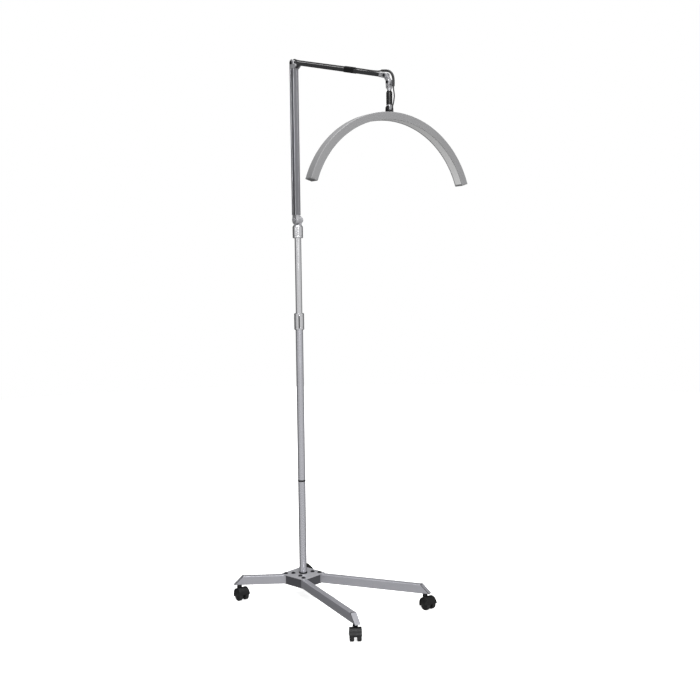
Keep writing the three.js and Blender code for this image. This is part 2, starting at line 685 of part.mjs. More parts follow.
function endCap(side) {
  const { radius, wall, depth, halfAngle } = LAMP;
  const between = (a, b) => (side > 0 ? [a, b] : [-b, -a]);
  const faceSpan = between(HOUSING_HALF_ANGLE + 0.07, halfAngle);
  const plugSpan = between(halfAngle - 1.1, HOUSING_HALF_ANGLE + 0.2);
  const plugHalf = depth / 2 - wall - GAP;
  const face = arc(INNER_RADIUS, radius, ...faceSpan, -depth / 2, depth / 2, 2);
  const plug = arc(INNER_RADIUS + 1, radius - wall - 1, ...plugSpan, -plugHalf, plugHalf, 2);
  return join(face, plug);
}

function lampFork() {
  const { cheek, pin } = TILT;
  const near = TILT.tongueWidth / 2 + GAP;
  const out = near + cheek;
  const base = -LAMP.above + GAP;
  const side = new THREE.Shape();
  side.moveTo(-7.5, base);
  side.lineTo(7.5, base);
  side.lineTo(7, 0);
  side.absarc(0, 0, 7, 0, Math.PI, false);
  side.closePath();
  const body = join(
    block(-7.5, 7.5, -out, out, base, base + 2.8),
    plateAlongY(side, near, out),
    plateAlongY(side, -out, -near),
  );
  return cut(body, rodAlongY(pin + GAP, -20, 20, 12));
}

function tiltPin() {
  return boltAlongY(TILT.pin, 3.4, TILT.tongueWidth / 2 + GAP + TILT.cheek + GAP + 1.6, 1.6);
}

// a tapered bush where the lead goes into the housing
function leadGland() {
  const foot = -LAMP.above + GAP;
  return turned([[0, foot], [3.6, foot], [3.6, foot + 2], [2.4, foot + 9], [0, foot + 9]], 16).translate(12, 2, 0);
}

function powerButton() {
  const inside = -LAMP.depth / 2 + LAMP.wall + GAP;
  return join(
    rodAlongX(BUTTON.radius, -LAMP.depth / 2 - BUTTON.proud, inside + 1, BUTTON_PLACE),
    rodAlongX(BUTTON.radius + 1.2, inside, inside + 1.5, BUTTON_PLACE),
  );
}

function lamp() {
  const group = new THREE.Group();
  group.add(piece('lamp_housing', 'lampPaint', lampHousing()));
  group.add(piece('diffuser', 'whiteDiffuser', diffuser()));
  group.add(piece('led_strip', 'stripBoard', ledStrip()));
  group.add(piece('end_cap_left', 'lampPaint', endCap(1)));
  group.add(piece('end_cap_right', 'lampPaint', endCap(-1)));
  group.add(piece('lamp_fork', 'blackPlastic', lampFork()));
  group.add(piece('tilt_pin', 'boltSteel', tiltPin()));
  group.add(piece('lead_gland', 'blackPlastic', leadGland()));
  group.add(piece('power_button', 'blackPlastic', powerButton()));
  return group;
}

// ---------------------------------------------------------------- arms put together

function headGroup() {
  const head = new THREE.Group();
  head.add(piece('head_link', 'castMetal', headLink()));
  head.add(piece('head_bolt_upper', 'boltSteel', headBolt()));
  head.add(piece('cable_sleeve', 'blackRubber', cable(SLEEVE_ROUTE, LEAD.sleeve, 16)));
  const lower = new THREE.Group();
  lower.position.set(LINK.x, 0, LINK.z);
  lower.add(piece('head_bolt_lower', 'boltSteel', headBolt()));
  lower.add(piece('neck', 'castMetal', neck()));
  lower.add(piece('lamp_lead', 'blackRubber', cable(LAMP_LEAD_ROUTE, LEAD.thin, 14)));
  const turning = new THREE.Group();
  turning.rotation.z = THREE.MathUtils.degToRad(LAMP.azimuth - ARM_AZIMUTH);
  turning.add(piece('grip', 'blackPlastic', grip()));
  turning.add(piece('tilt_tongue', 'castMetal', tiltTongue()));
  const lampPlace = lamp();
  lampPlace.position.z = TILT.below;
  turning.add(lampPlace);
  lower.add(turning);
  head.add(lower);
  return head;
}

function arms() {
  const turret = new THREE.Group();
  turret.rotation.z = THREE.MathUtils.degToRad(ARM_AZIMUTH);
  turret.add(piece('hinge_yoke', 'castMetal', hingeYoke()));
  turret.add(piece('hinge_bolt', 'castMetal', hingeBolt()));
  turret.add(piece('hinge_knob', 'castMetal', hingeKnob()));
  turret.add(piece('lower_arm_foot', 'castMetal', lowerArmFoot()));
  turret.add(piece('lower_arm_tube', 'armAluminium', lowerArmTube()));
  turret.add(piece('power_inlet', 'blackPlastic', powerInlet()));
  turret.add(piece('elbow_fork', 'castMetal', elbowFork()));
  turret.add(piece('elbow_bolt', 'boltSteel', elbowBolt()));
  const slope = THREE.MathUtils.degToRad(BOOM.slope);
  const boom = new THREE.Group();
  boom.position.set(0, ARM.offset, ELBOW.height);
  boom.rotation.y = slope;
  boom.add(piece('boom_heel', 'boomPaint', boomHeel()));
  boom.add(piece('boom_tube', 'boomPaint', boomTube()));
  boom.add(piece('boom_fork', 'castMetal', boomFork()));
  boom.add(piece('boom_cable', 'blackRubber', cable(BOOM_LEAD_ROUTE, LEAD.radius, 44)));
  turret.add(boom);
  const head = headGroup();
  head.position.set(
    BOOM.pivot * Math.cos(slope), ARM.offset, ELBOW.height - BOOM.pivot * Math.sin(slope),
  );
  turret.add(head);
  return turret;
}

const lampOnStand = new THREE.Group();
lampOnStand.add(stand(), column(), arms());

// the origin goes to the middle of the footprint, on the floor
const extent = new THREE.Box3().setFromObject(lampOnStand, true);
lampOnStand.position.set(-(extent.min.x + extent.max.x) / 2, -(extent.min.y + extent.max.y) / 2, -extent.min.z);

export default lampOnStand;
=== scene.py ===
"""An arc-shaped examination lamp on a rolling stand: its finished pieces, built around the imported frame."""

import json
import math

import bmesh
import bpy
from bpy.props import FloatProperty, FloatVectorProperty, IntProperty, PointerProperty
from mathutils import Matrix, Vector


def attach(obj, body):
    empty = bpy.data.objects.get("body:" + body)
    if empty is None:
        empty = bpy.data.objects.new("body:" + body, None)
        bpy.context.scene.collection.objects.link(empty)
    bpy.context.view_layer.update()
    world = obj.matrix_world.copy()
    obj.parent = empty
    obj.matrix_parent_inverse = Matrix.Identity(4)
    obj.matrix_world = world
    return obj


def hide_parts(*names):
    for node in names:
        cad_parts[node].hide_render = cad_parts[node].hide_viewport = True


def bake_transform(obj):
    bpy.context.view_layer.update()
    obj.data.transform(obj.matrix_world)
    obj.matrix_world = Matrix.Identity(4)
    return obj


bl_info = {
    "name": "Examination Lamp",
    "version": (1, 0, 0),
    "blender": (4, 5, 0),
    "location": "3D Viewport > Sidebar > Exam Lamp",
    "description": "Builds the finished pieces of an arc-shaped examination lamp on a rolling stand",
    "category": "Add Mesh",
}

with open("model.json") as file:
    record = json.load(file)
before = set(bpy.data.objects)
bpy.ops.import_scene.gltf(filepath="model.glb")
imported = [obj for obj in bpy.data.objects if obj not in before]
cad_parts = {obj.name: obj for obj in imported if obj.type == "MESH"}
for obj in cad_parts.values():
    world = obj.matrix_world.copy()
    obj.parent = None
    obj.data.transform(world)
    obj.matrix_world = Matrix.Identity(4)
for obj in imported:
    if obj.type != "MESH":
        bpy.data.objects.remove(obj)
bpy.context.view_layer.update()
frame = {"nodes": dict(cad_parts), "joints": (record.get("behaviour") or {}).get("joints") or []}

MM = 0.001  # shapes are drawn in millimetres and then placed in the frame, which is in metres
GAP = 0.3  # clearance between neighbouring pieces
SMOOTH_BELOW = math.radians(32)
CORNERS = ("front_left", "front_right", "rear_left", "rear_right")

# ---------------------------------------------------------------- places, from the frame's joints


def joint(name):
    return next(j for j in frame["joints"] if j["name"] == name)


def pivot(name):
    return Vector(joint(name)["pos_m"])


def heading(name):
    """The turn about Z that lays a local Y axis along this joint's axis."""
    x, y, _ = joint(name)["axis"]
    return Matrix.Rotation(math.atan2(-x, y), 4, "Z")


def at(point):
    return Matrix.Translation(point)


COLUMN_AXIS = pivot("turret_swivel")
COLUMN = at((COLUMN_AXIS.x, COLUMN_AXIS.y, 0))
ARMS_TURN = heading("elbow_bend")
ARMS = COLUMN @ ARMS_TURN
ELBOW = at(pivot("elbow_bend")) @ ARMS_TURN
BOOM_RUN = pivot("head_link_bend") - pivot("elbow_bend")
BOOM_SLOPE = math.atan2(-BOOM_RUN.z, BOOM_RUN.xy.length)
BOOM_PIVOT = BOOM_RUN.length / MM
BOOM = ELBOW @ Matrix.Rotation(BOOM_SLOPE, 4, "Y")
HEAD = at(pivot("head_link_bend")) @ ARMS_TURN
NECK_PLACE = at(pivot("neck_bend")) @ ARMS_TURN
TURN_PLACE = at(pivot("neck_bend")) @ heading("lamp_tilt")
LAMP_PLACE = at(pivot("lamp_tilt")) @ heading("lamp_tilt")
HINGE_Z = pivot("lower_arm_tilt").z / MM
ELBOW_Z = pivot("elbow_bend").z / MM
ARM_OFFSET = -5  # the arm's centre line, to the side of the column's

# ---------------------------------------------------------------- settings a user would change


class StandSettings(bpy.types.PropertyGroup):
    leg_corner: FloatProperty(
        name="Leg corner", description="Rounding of the rectangular leg tube", default=0.0024, unit="LENGTH"
    )
    edge: FloatProperty(
        name="Edge", description="Rounding of the stand's cut and moulded edges", default=0.0008,
        unit="LENGTH",
    )
    spokes: IntProperty(name="Wheel ribs", description="Raised ribs on the outside of a wheel", default=6)


class ColumnSettings(bpy.types.PropertyGroup):
    sides: IntProperty(name="Sides", description="Sides of a round tube", default=96)
    rim: FloatProperty(
        name="Rim", description="Rounding of the tubes' and collars' rims", default=0.0005, unit="LENGTH"
    )
    lobes: IntProperty(name="Knob lobes", description="Finger lobes around the clamp knob", default=8)


class ArmSettings(bpy.types.PropertyGroup):
    corner: FloatProperty(
        name="Corner", description="Rounding of the arm tube's long corners", default=0.0018, unit="LENGTH"
    )
    groove_width: FloatProperty(
        name="Groove width", description="Width of the groove along each side", default=0.0074, unit="LENGTH"
    )
    groove_depth: FloatProperty(
        name="Groove depth", description="Depth of the groove along each side", default=0.0009, unit="LENGTH"
    )
    boom_corner: FloatProperty(
        name="Boom corner", description="Rounding of the boom's long corners", default=0.0018, unit="LENGTH"
    )


class LampSettings(bpy.types.PropertyGroup):
    edge: FloatProperty(
        name="Edge", description="Rounding along the housing's outer edges", default=0.0016, unit="LENGTH"
    )
    steps: IntProperty(name="Steps", description="Steps around the arc", default=120)


class FinishSettings(bpy.types.PropertyGroup):
    grey_paint: FloatVectorProperty(
        name="Leg paint", description="Satin paint of the legs", subtype="COLOR",
        default=(0.36, 0.36, 0.39),
    )
    plate: FloatVectorProperty(
        name="Hub plate", description="Light satin finish of the plate over the hub", subtype="COLOR",
        default=(0.50, 0.50, 0.53),
    )
    pole_paint: FloatVectorProperty(
        name="Pole paint", description="Silver paint of the two lower poles", subtype="COLOR",
        default=(0.56, 0.56, 0.60),
    )
    # Painted shade: this dark grey, far darker than the legs' paint, stands in for the shade on the hub's
    # walls under its plate and between the legs.
    hub_paint: FloatVectorProperty(
        name="Hub paint", description="Darker paint of the hub", subtype="COLOR",
        default=(0.085, 0.085, 0.095),
    )
    metal: FloatVectorProperty(
        name="Bright metal", description="Polished steel and plated collars", subtype="COLOR",
        default=(0.80, 0.80, 0.82),
    )
    aluminium: FloatVectorProperty(
        name="Aluminium", description="Drawn arm tube", subtype="COLOR", default=(0.30, 0.30, 0.32)
    )
    alloy: FloatVectorProperty(
        name="Cast alloy", description="Hinge and head castings", subtype="COLOR", default=(0.50, 0.50, 0.52)
    )
    boom_paint: FloatVectorProperty(
        name="Boom paint", description="Dark satin paint of the boom", subtype="COLOR",
        default=(0.022, 0.022, 0.024),
    )
    lamp_paint: FloatVectorProperty(
        name="Lamp paint", description="Satin grey of the lamp's housing", subtype="COLOR",
        default=(0.25, 0.25, 0.255),
    )
    black: FloatVectorProperty(
        name="Black", description="Black mouldings, rubber and cable", subtype="COLOR",
        default=(0.005, 0.005, 0.0055),
    )
    opal: FloatVectorProperty(
        name="Opal", description="The lamp's diffuser", subtype="COLOR", default=(0.60, 0.60, 0.60)
    )


class StudioSettings(bpy.types.PropertyGroup):
    camera_place: FloatVectorProperty(
        name="Camera", description="Where the camera stands, from the column's foot", subtype="TRANSLATION",
        unit="LENGTH", default=(2.33332, -2.39138, 1.16032),
    )
    camera_aim: FloatVectorProperty(
        name="Aim", description="The way that the camera looks", subtype="DIRECTION",
        default=(-0.65813, 0.74748, -0.09021),
    )
    camera_roll: FloatProperty(
        name="Roll", description="The camera's lean to one side", subtype="ANGLE", default=math.radians(-0.65)
    )
    lens: FloatProperty(name="Lens", description="Focal length in millimetres", default=50.74)
    key_power: FloatProperty(name="Key", description="Power of the key light in watts", default=105.0)
    fill_power: FloatProperty(name="Fill", description="Power of the fill light in watts", default=7.0)
    top_power: FloatProperty(name="Top", description="Power of the light overhead in watts", default=130.0)
    world_light: FloatProperty(name="Surroundings", description="Brightness of the studio", default=0.50)
    floor: FloatVectorProperty(
        name="Floor", description="Colour of the floor", subtype="COLOR", default=(0.92, 0.92, 0.92)
    )


# ---------------------------------------------------------------- shapes


def turned(profile, corner=0.0, sides=64, closed=False, axis="Z"):
    """A profile of (radius, height) turned about Z, or about Y with its heights along Y."""
    form = bmesh.new()
    verts = [form.verts.new((radius, 0, height)) for radius, height in profile]
    ends = verts[1:] + verts[:1] if closed else verts[1:]
    for pair in zip(verts, ends):
        form.edges.new(pair)
    if corner:
        round_corners(form, verts if closed else verts[1:-1], corner)
    bmesh.ops.spin(
        form, geom=form.verts[:] + form.edges[:], cent=(0, 0, 0), axis=(0, 0, 1),
        angle=math.tau, steps=sides, use_merge=True,
    )
    bmesh.ops.remove_doubles(form, verts=form.verts, dist=1e-4)
    if axis == "Y":
        moved(form, Matrix.Rotation(-math.pi / 2, 4, "X"))
    return outward(form)


def swept(section, centre, axis, start, turn, steps, corner=0.0):
    """A closed section swept part of the way round an axis, with both ends closed."""
    form = bmesh.new()
    verts = [form.verts.new(point) for point in section]
    for pair in zip(verts, verts[1:] + verts[:1]):
        form.edges.new(pair)
    if corner:
        round_corners(form, verts, corner)
    bmesh.ops.rotate(form, cent=centre, matrix=Matrix.Rotation(start, 3, axis), verts=form.verts)
    bmesh.ops.spin(
        form, geom=form.verts[:] + form.edges[:], cent=centre, axis=axis, angle=turn, steps=steps,
        use_merge=False,
    )
    bmesh.ops.remove_doubles(form, verts=form.verts, dist=1e-4)
    bmesh.ops.holes_fill(form, edges=[e for e in form.edges if e.is_boundary], sides=0)
    return outward(form)


def plate(outline, y0, y1, edge=0.0, segments=2):
    """A flat outline of (x, z) points given its thickness along Y, with its rims rounded."""
    form = bmesh.new()
    form.faces.new([form.verts.new((x, y0, z)) for x, z in outline])
    drawn_out(form, (0, y1 - y0, 0))
    if edge:
        rounded(form, edge, segments)
    return form


def block(x0, x1, y0, y1, z0, z1, edge=0.0, segments=2):
    form = bmesh.new()
    bmesh.ops.create_cube(form, size=1.0)
    bmesh.ops.scale(form, vec=(x1 - x0, y1 - y0, z1 - z0), verts=form.verts)
    bmesh.ops.translate(form, vec=((x0 + x1) / 2, (y0 + y1) / 2, (z0 + z1) / 2), verts=form.verts)
    if edge:
        rounded(form, edge, segments, above=0)
    return form


def drawn_out(form, reach):
    """Draws a flat face out by a vector, into a closed solid."""
    grown = bmesh.ops.extrude_face_region(form, geom=form.faces[:])["geom"]
    moving = [v for v in grown if isinstance(v, bmesh.types.BMVert)]
    bmesh.ops.translate(form, vec=reach, verts=moving)
    bmesh.ops.holes_fill(form, edges=[e for e in form.edges if e.is_boundary], sides=0)
    return outward(form)


def two_plates(outline, out, thick):
    """A pair of plates with a slot between them, whose outer faces lie at -out and out."""
    return [plate(outline, y0, y0 + thick, 0.7, 3) for y0 in (out - thick, -out)]


def rod_outline(radius, z0, z1):
    return [(0, z0), (radius, z0), (radius, z1), (0, z1)]


def pipe_outline(inner, outer, z0, z1):
    return [(inner, z0), (outer, z0), (outer, z1), (inner, z1)]


def mirrored(points):
    """Points of one side of an outline, and then those of its other side on the way back."""
    return [*points, *((-x, z) for x, z in reversed(points))]


def arc(x, z, radius, start, end, steps=20):
    """Points on a round stretch of an outline, from one angle in degrees to another."""
    angles = [math.radians(start + (end - start) * i / steps) for i in range(steps + 1)]
    return [(x + radius * math.cos(a), z + radius * math.sin(a)) for a in angles]


def round_corners(form, verts, radius, segments=3):
    bmesh.ops.bevel(
        form, geom=verts, affect="VERTICES", offset=radius, segments=segments, profile=0.5,
        material=-1, clamp_overlap=True,
    )


def rounded(form, radius, segments=2, above=SMOOTH_BELOW):
    """Rounds every edge whose faces meet at more than an angle."""
    sharp = [e for e in form.edges if e.is_manifold and e.calc_face_angle(0) > above]
    bmesh.ops.bevel(
        form, geom=sharp, affect="EDGES", offset=radius, segments=segments, profile=0.5,
        material=-1, clamp_overlap=True,
    )
    return form


def rounded_along(form, axis, radius, segments):
    """Rounds the edges that run along one axis, given by its number."""
    along = [e for e in form.edges if abs(e.verts[0].co[axis] - e.verts[1].co[axis]) > 1]
    bmesh.ops.bevel(
        form, geom=along, affect="EDGES", offset=radius, segments=segments, profile=0.5, material=-1
    )
    return form


def moved(form, matrix):
    bmesh.ops.transform(form, matrix=matrix, verts=form.verts)
    return form


def outward(form):
    bmesh.ops.recalc_face_normals(form, faces=form.faces)
    return form


def hexagonal(form, radius, low, high):
    """Makes the round recess inside a radius into a hexagonal one, between two heights."""
    for vert in form.verts:
        flat = vert.co.xy
        if low <= vert.co.z <= high and 0.1 < flat.length <= radius:
            angle = math.atan2(flat.y, flat.x) % (math.pi / 3) - math.pi / 6
            factor = math.cos(math.pi / 6) / math.cos(angle)
            vert.co.x *= factor
            vert.co.y *= factor
    return form


def copied(node, edge):
    """A copy of a frame node's solid in millimetres, with whole faces and rounded edges."""
    form = bmesh.new()
    form.from_mesh(frame["nodes"][node].data)
    moved(form, Matrix.Scale(1 / MM, 4))
    bmesh.ops.remove_doubles(form, verts=form.verts, dist=1e-3)
    bmesh.ops.dissolve_limit(
        form, angle_limit=math.radians(1), use_dissolve_boundaries=False, verts=form.verts, edges=form.edges
    )
    return rounded(form, edge)


def piece(name, forms, place, finish, body, stands_for=()):
    """One finished piece: its forms joined in one mesh, placed in the frame, riding on its body."""
    whole = bmesh.new()
    for form in forms:
        part = bpy.data.meshes.new("part")
        form.to_mesh(part)
        form.free()
        whole.from_mesh(part)
        bpy.data.meshes.remove(part)
    moved(whole, place @ Matrix.Scale(MM, 4))
    for edge in whole.edges:
        edge.smooth = edge.calc_face_angle(0) < SMOOTH_BELOW
    for face in whole.faces:
        face.smooth = True
    mesh = bpy.data.meshes.new(name)
    whole.to_mesh(mesh)
    whole.free()
    made = bpy.data.objects.new(name, mesh)
    bpy.context.scene.collection.objects.link(made)
    settle(made, finish, stands_for)
    flat = made.modifiers.new("Flat faces", "WEIGHTED_NORMAL")
    flat.keep_sharp = True
    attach(made, body)
    return made


def settle(made, finish, stands_for):
    """Gives a piece its finish and material slot, and hides the frame nodes it stands for."""
    made.data.materials.append(finish_named(finish))
    if stands_for:
        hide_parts(*stands_for)


def flexible(name, route, radius, place, bodies, stands_for=()):
    """A round cable along a smooth line through chosen points.

    With two bodies it stays where it is laid, riding on neither of them.
    """
    points = [place @ (Vector(point) * MM) for point in route]
    line = bpy.data.curves.new(name, "CURVE")
    line.dimensions = "3D"
    line.resolution_u = 14
    line.bevel_depth = radius * MM
    line.bevel_resolution = 5
    line.use_fill_caps = True
    spline = line.splines.new("BEZIER")
    spline.bezier_points.add(len(points) - 1)
    for knot, point in zip(spline.bezier_points, points):
        knot.co = point
        knot.handle_left_type = knot.handle_right_type = "AUTO"
    drawn = bpy.data.objects.new(name + "_line", line)
    bpy.context.scene.collection.objects.link(drawn)
    bpy.context.view_layer.update()
    mesh = bpy.data.meshes.new_from_object(drawn.evaluated_get(bpy.context.evaluated_depsgraph_get()))
    line.bevel_depth = 0
    bpy.context.view_layer.update()
    centre = bpy.data.meshes.new_from_object(drawn.evaluated_get(bpy.context.evaluated_depsgraph_get()))
    path = [tuple(vert.co) for vert in centre.vertices]
    bpy.data.objects.remove(drawn)
    bpy.data.meshes.remove(centre)
    form = bmesh.new()
    form.from_mesh(mesh)
    bmesh.ops.remove_doubles(form, verts=form.verts, dist=1e-6)
    outward(form)
    form.to_mesh(mesh)
    form.free()
    mesh.name = name
    mesh.materials.clear()
    mesh.shade_smooth()
    made = bpy.data.objects.new(name, mesh)
    bpy.context.scene.collection.objects.link(made)
    settle(made, "sheath", stands_for)
    if len(bodies) == 2:
        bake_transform(made)
    else:
        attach(made, bodies[0])
    return made, path


# ---------------------------------------------------------------- material nodes


class Value:
    """A value that varies over a surface. Arithmetic on it adds Math nodes."""

    def __init__(self, finish, socket):
        self.finish = finish
        self.socket = socket

    def math(self, operation, *terms):
        return self.finish.node("Math", {"operation": operation}, dict(enumerate(terms)))

    def __add__(self, other):
        return self.math("ADD", self, other)

    __radd__ = __add__

    def __sub__(self, other):
        return self.math("SUBTRACT", self, other)

    def __rsub__(self, other):
        return self.math("SUBTRACT", other, self)

    def __mul__(self, other):
        return self.math("MULTIPLY", self, other)

    def between(self, low, high):
        """0 below low and 1 above high, with a smooth rise."""
        return self.finish.node(
            "MapRange", {"interpolation_type": "SMOOTHSTEP"},
            {"Value": self, "From Min": low, "From Max": high},
        )


class Finish:
    """A material while it is put together, with its one shader."""

    def __init__(self, name, **fixed):
        self.material = bpy.data.materials.new(name)
        self.material.use_nodes = True
        self.nodes = self.material.node_tree.nodes
        self.links = self.material.node_tree.links
        self.shader = self.nodes["Principled BSDF"]
        for socket, value in fixed.items():
            self.shader.inputs[socket.replace("_", " ").title().replace("Ior", "IOR")].default_value = value

    def node(self, kind, settings, sockets, output=0):
        made = self.nodes.new("ShaderNode" + kind)
        for name, value in settings.items():
            setattr(made, name, value)
        for name, value in sockets.items():
            if isinstance(value, Value):
                self.links.new(value.socket, made.inputs[name])
            else:
                made.inputs[name].default_value = value
        return Value(self, made.outputs[output])

    def noise(self, scale, detail=2.0, stretch=(1, 1, 1), along=None, seed=0.0):
        """Noise on the piece's own coordinates, drawn out by stretch once Z lies along a direction."""
        where = self.node("TexCoord", {}, {}, "Object")
        turn = (0, 0, 0)
        if along is not None:
            turn = Vector(along).rotation_difference(Vector((0, 0, 1))).to_euler()
        turned_place = self.node("Mapping", {}, {"Vector": where, "Rotation": turn, "Location": (seed, 0, 0)})
        drawn = self.node("Mapping", {}, {"Vector": turned_place, "Scale": stretch})
        return self.node("TexNoise", {}, {"Vector": drawn, "Scale": scale, "Detail": detail})

    def height(self):
        """How high above the floor a point lies, in metres."""
        where = self.node("TexCoord", {}, {}, "Object")
        return self.node("SeparateXYZ", {}, {0: where}, "Z")

    def facing_up(self):
        normal = self.node("NewGeometry", {}, {}, "Normal")
        return self.node("SeparateXYZ", {}, {0: normal}, "Z")

    def mix(self, factor, first, second):
        """A colour that goes from first to second."""
        colours = [c if isinstance(c, Value) else (*c, 1.0) for c in (first, second)]
        return self.node("Mix", {"data_type": "RGBA"}, {0: factor, 6: colours[0], 7: colours[1]}, 2)

    def bump(self, height, depth, under=None):
        """Raises the surface by up to depth, in metres."""
        sockets = {"Height": height, "Distance": depth, "Strength": 1.0}
        if under:
            sockets["Normal"] = under
        return self.node("Bump", {}, sockets)

    def feed(self, socket, value):
        self.links.new(value.socket, self.shader.inputs[socket])
        return self


def shade(colour, factor):
    return tuple(min(1.0, channel * factor) for channel in colour)


def satin_paint(name, colour, dust_below=0.0, metallic=0.35, roughness=0.40, coat=0.12):
    """Sprayed satin paint: slight orange peel, metal flake, soft wear and some dust low down."""
    made = Finish(name, metallic=metallic, coat_weight=coat, coat_roughness=0.3)
    cloud = made.noise(7.0, 3.0)
    flake = made.noise(2600.0, 0.0)
    peel = made.noise(420.0, 2.0, seed=3.1)
    scuff = made.noise(95.0, 4.0, stretch=(1, 1, 0.25), seed=7.7).between(0.62, 0.78)
    base = made.mix(cloud, shade(colour, 0.92), shade(colour, 1.07))
    sparkle = made.mix(flake.between(0.55, 0.75) * 0.22, base, shade(colour, 1.5))
    worn = made.mix(scuff * 0.16, sparkle, shade(colour, 0.72))
    if dust_below:
        low = 1 - made.height().between(dust_below * 0.3, dust_below)
        dust = low * made.facing_up().between(0.3, 0.9) * made.noise(60.0, 4.0, seed=5.0).between(0.35, 0.7)
        worn = made.mix(dust * 0.35, worn, (0.55, 0.54, 0.52))
    made.feed("Base Color", worn)
    made.feed("Roughness", roughness - 0.05 + cloud * 0.08 + scuff * 0.12 + flake * 0.03)
    made.feed("Normal", made.bump(peel, 0.00004, under=made.bump(flake, 0.000006)))
    return made.material


def drawn_metal(name, colour, along, roughness, line_scale=1100.0, tone=0.10):
    """Metal with fine lines along one direction, as drawing, brushing or polishing leaves."""
    made = Finish(name, metallic=1.0)
    lines = made.noise(line_scale, 2.0, stretch=(1, 1, 0.006), along=along)
    bands = made.noise(90.0, 1.0, stretch=(1, 1, 0.01), along=along, seed=2.3)
    smear = made.noise(28.0, 3.0, seed=4.4)
    base = made.mix(lines, shade(colour, 1 - tone), shade(colour, 1 + tone))
    toned = made.mix(bands * 0.35, base, shade(colour, 0.86))
    made.feed("Base Color", toned)
    made.feed("Roughness", roughness + lines * 0.08 + smear.between(0.45, 0.75) * 0.07)
    made.feed("Normal", made.bump(lines, 0.000012))
    return made.material


def cast_alloy(name, colour):
    """Die-cast alloy, tumbled smooth: fine pits, cloudy tone and brighter rubbed spots."""
    made = Finish(name, metallic=0.6)
    cloud = made.noise(45.0, 3.0)
    grain = made.noise(1500.0, 2.0, seed=1.7)
    pits = made.noise(620.0, 1.0, seed=6.1).between(0.66, 0.74)
    rubbed = made.noise(120.0, 2.0, seed=9.2).between(0.55, 0.7)
    base = made.mix(cloud, shade(colour, 0.84), shade(colour, 1.12))
    bright = made.mix(rubbed * 0.3, base, shade(colour, 1.35))
    made.feed("Base Color", made.mix(pits * 0.5, bright, shade(colour, 0.45)))
    made.feed("Roughness", 0.30 + grain * 0.12 + cloud * 0.08 - rubbed * 0.07)
    made.feed("Normal", made.bump(grain, 0.00002, under=made.bump(1 - pits, 0.00006)))
    return made.material


def moulded(name, colour, roughness=0.42, grain_depth=0.00005, grain_scale=900.0):
    """Black moulded plastic with a fine spark-eroded grain and a little dust in it."""
    made = Finish(name, specular_ior_level=0.3)
    grain = made.noise(grain_scale, 3.0)
    rub = made.noise(70.0, 3.0, seed=3.3).between(0.5, 0.75)
    dust = made.noise(300.0, 4.0, seed=8.1).between(0.58, 0.75)
    base = made.mix(grain, shade(colour, 0.8), shade(colour, 1.35))
    made.feed("Base Color", made.mix(dust * 0.04, base, (0.20, 0.20, 0.20)))
    made.feed("Roughness", roughness + grain * 0.12 - rub * 0.08)
    made.feed("Normal", made.bump(grain, grain_depth))
    return made.material


def tread_rubber(name, colour):
    """Wheel rubber with scuffs, and pale dust on the tread next to the floor."""
    made = Finish(name)
    scuff = made.noise(180.0, 4.0, stretch=(1, 1, 0.4)).between(0.5, 0.72)
    grain = made.noise(1400.0, 2.0, seed=2.2)
    dust = made.noise(85.0, 5.0, seed=5.5).between(0.42, 0.7)
    base = made.mix(grain, shade(colour, 0.9), shade(colour, 1.6))
    dusty = made.mix(dust * 0.08, base, (0.16, 0.155, 0.15))
    made.feed("Base Color", made.mix(scuff * 0.1, dusty, (0.07, 0.07, 0.07)))
    made.feed("Roughness", 0.52 + scuff * 0.2 + dust * 0.12)
    made.feed("Normal", made.bump(grain, 0.00002, under=made.bump(scuff, 0.00004)))
    return made.material


def cable_sheath(name, colour):
    """A soft black cable sheath, slightly glossy, with a fine uneven skin."""
    made = Finish(name, sheen_weight=0.15, specular_ior_level=0.45)
    skin = made.noise(1300.0, 3.0)
    rub = made.noise(55.0, 3.0, seed=4.0)
    made.feed("Base Color", made.mix(skin, shade(colour, 0.9), shade(colour, 1.9)))
    made.feed("Roughness", 0.40 + rub * 0.2 + skin * 0.06)
    made.feed("Normal", made.bump(skin, 0.00003))
    return made.material


def black_oxide(name):
    """Blackened steel, rubbed brighter in spots."""
    colour = (0.045, 0.045, 0.05)
    made = Finish(name, metallic=0.9)
    grain = made.noise(1600.0, 2.0)
    rubbed = made.noise(260.0, 3.0, seed=3.0).between(0.55, 0.75)
    made.feed("Base Color", made.mix(rubbed * 0.45, colour, (0.19, 0.19, 0.20)))
    made.feed("Roughness", 0.30 + grain * 0.16 - rubbed * 0.06)
    made.feed("Normal", made.bump(grain, 0.000015))
    return made.material


def opal_cover(name, colour):
    """Milky diffuser with a very fine frosting, and a painted glow: weak near-white emission that stands in
    for the light falling on it.
    """
    made = Finish(name, coat_weight=0.1, coat_roughness=0.25, emission_strength=0.15)
    frost = made.noise(2200.0, 2.0)
    cloud = made.noise(14.0, 2.0, seed=1.1)
    made.feed("Base Color", made.mix(cloud, shade(colour, 0.965), shade(colour, 1.03)))
    # Painted glow: near-white emission that brightens the diffuser as if it were lit.
    made.feed("Emission Color", made.mix(cloud, (0.96, 0.96, 0.96), (1.0, 1.0, 1.0)))
    made.feed("Roughness", 0.36 + frost * 0.12)
    made.feed("Normal", made.bump(frost, 0.00001))
    return made.material


def strip_board(name):
    """The light strip's board, with a row of yellow chips."""
    made = Finish(name, roughness=0.5)
    chips = made.noise(160.0, 0.0).between(0.52, 0.56)
    made.feed("Base Color", made.mix(chips, (0.80, 0.79, 0.74), (0.85, 0.62, 0.12)))
    made.feed("Normal", made.bump(chips, 0.0003))
    return made.material


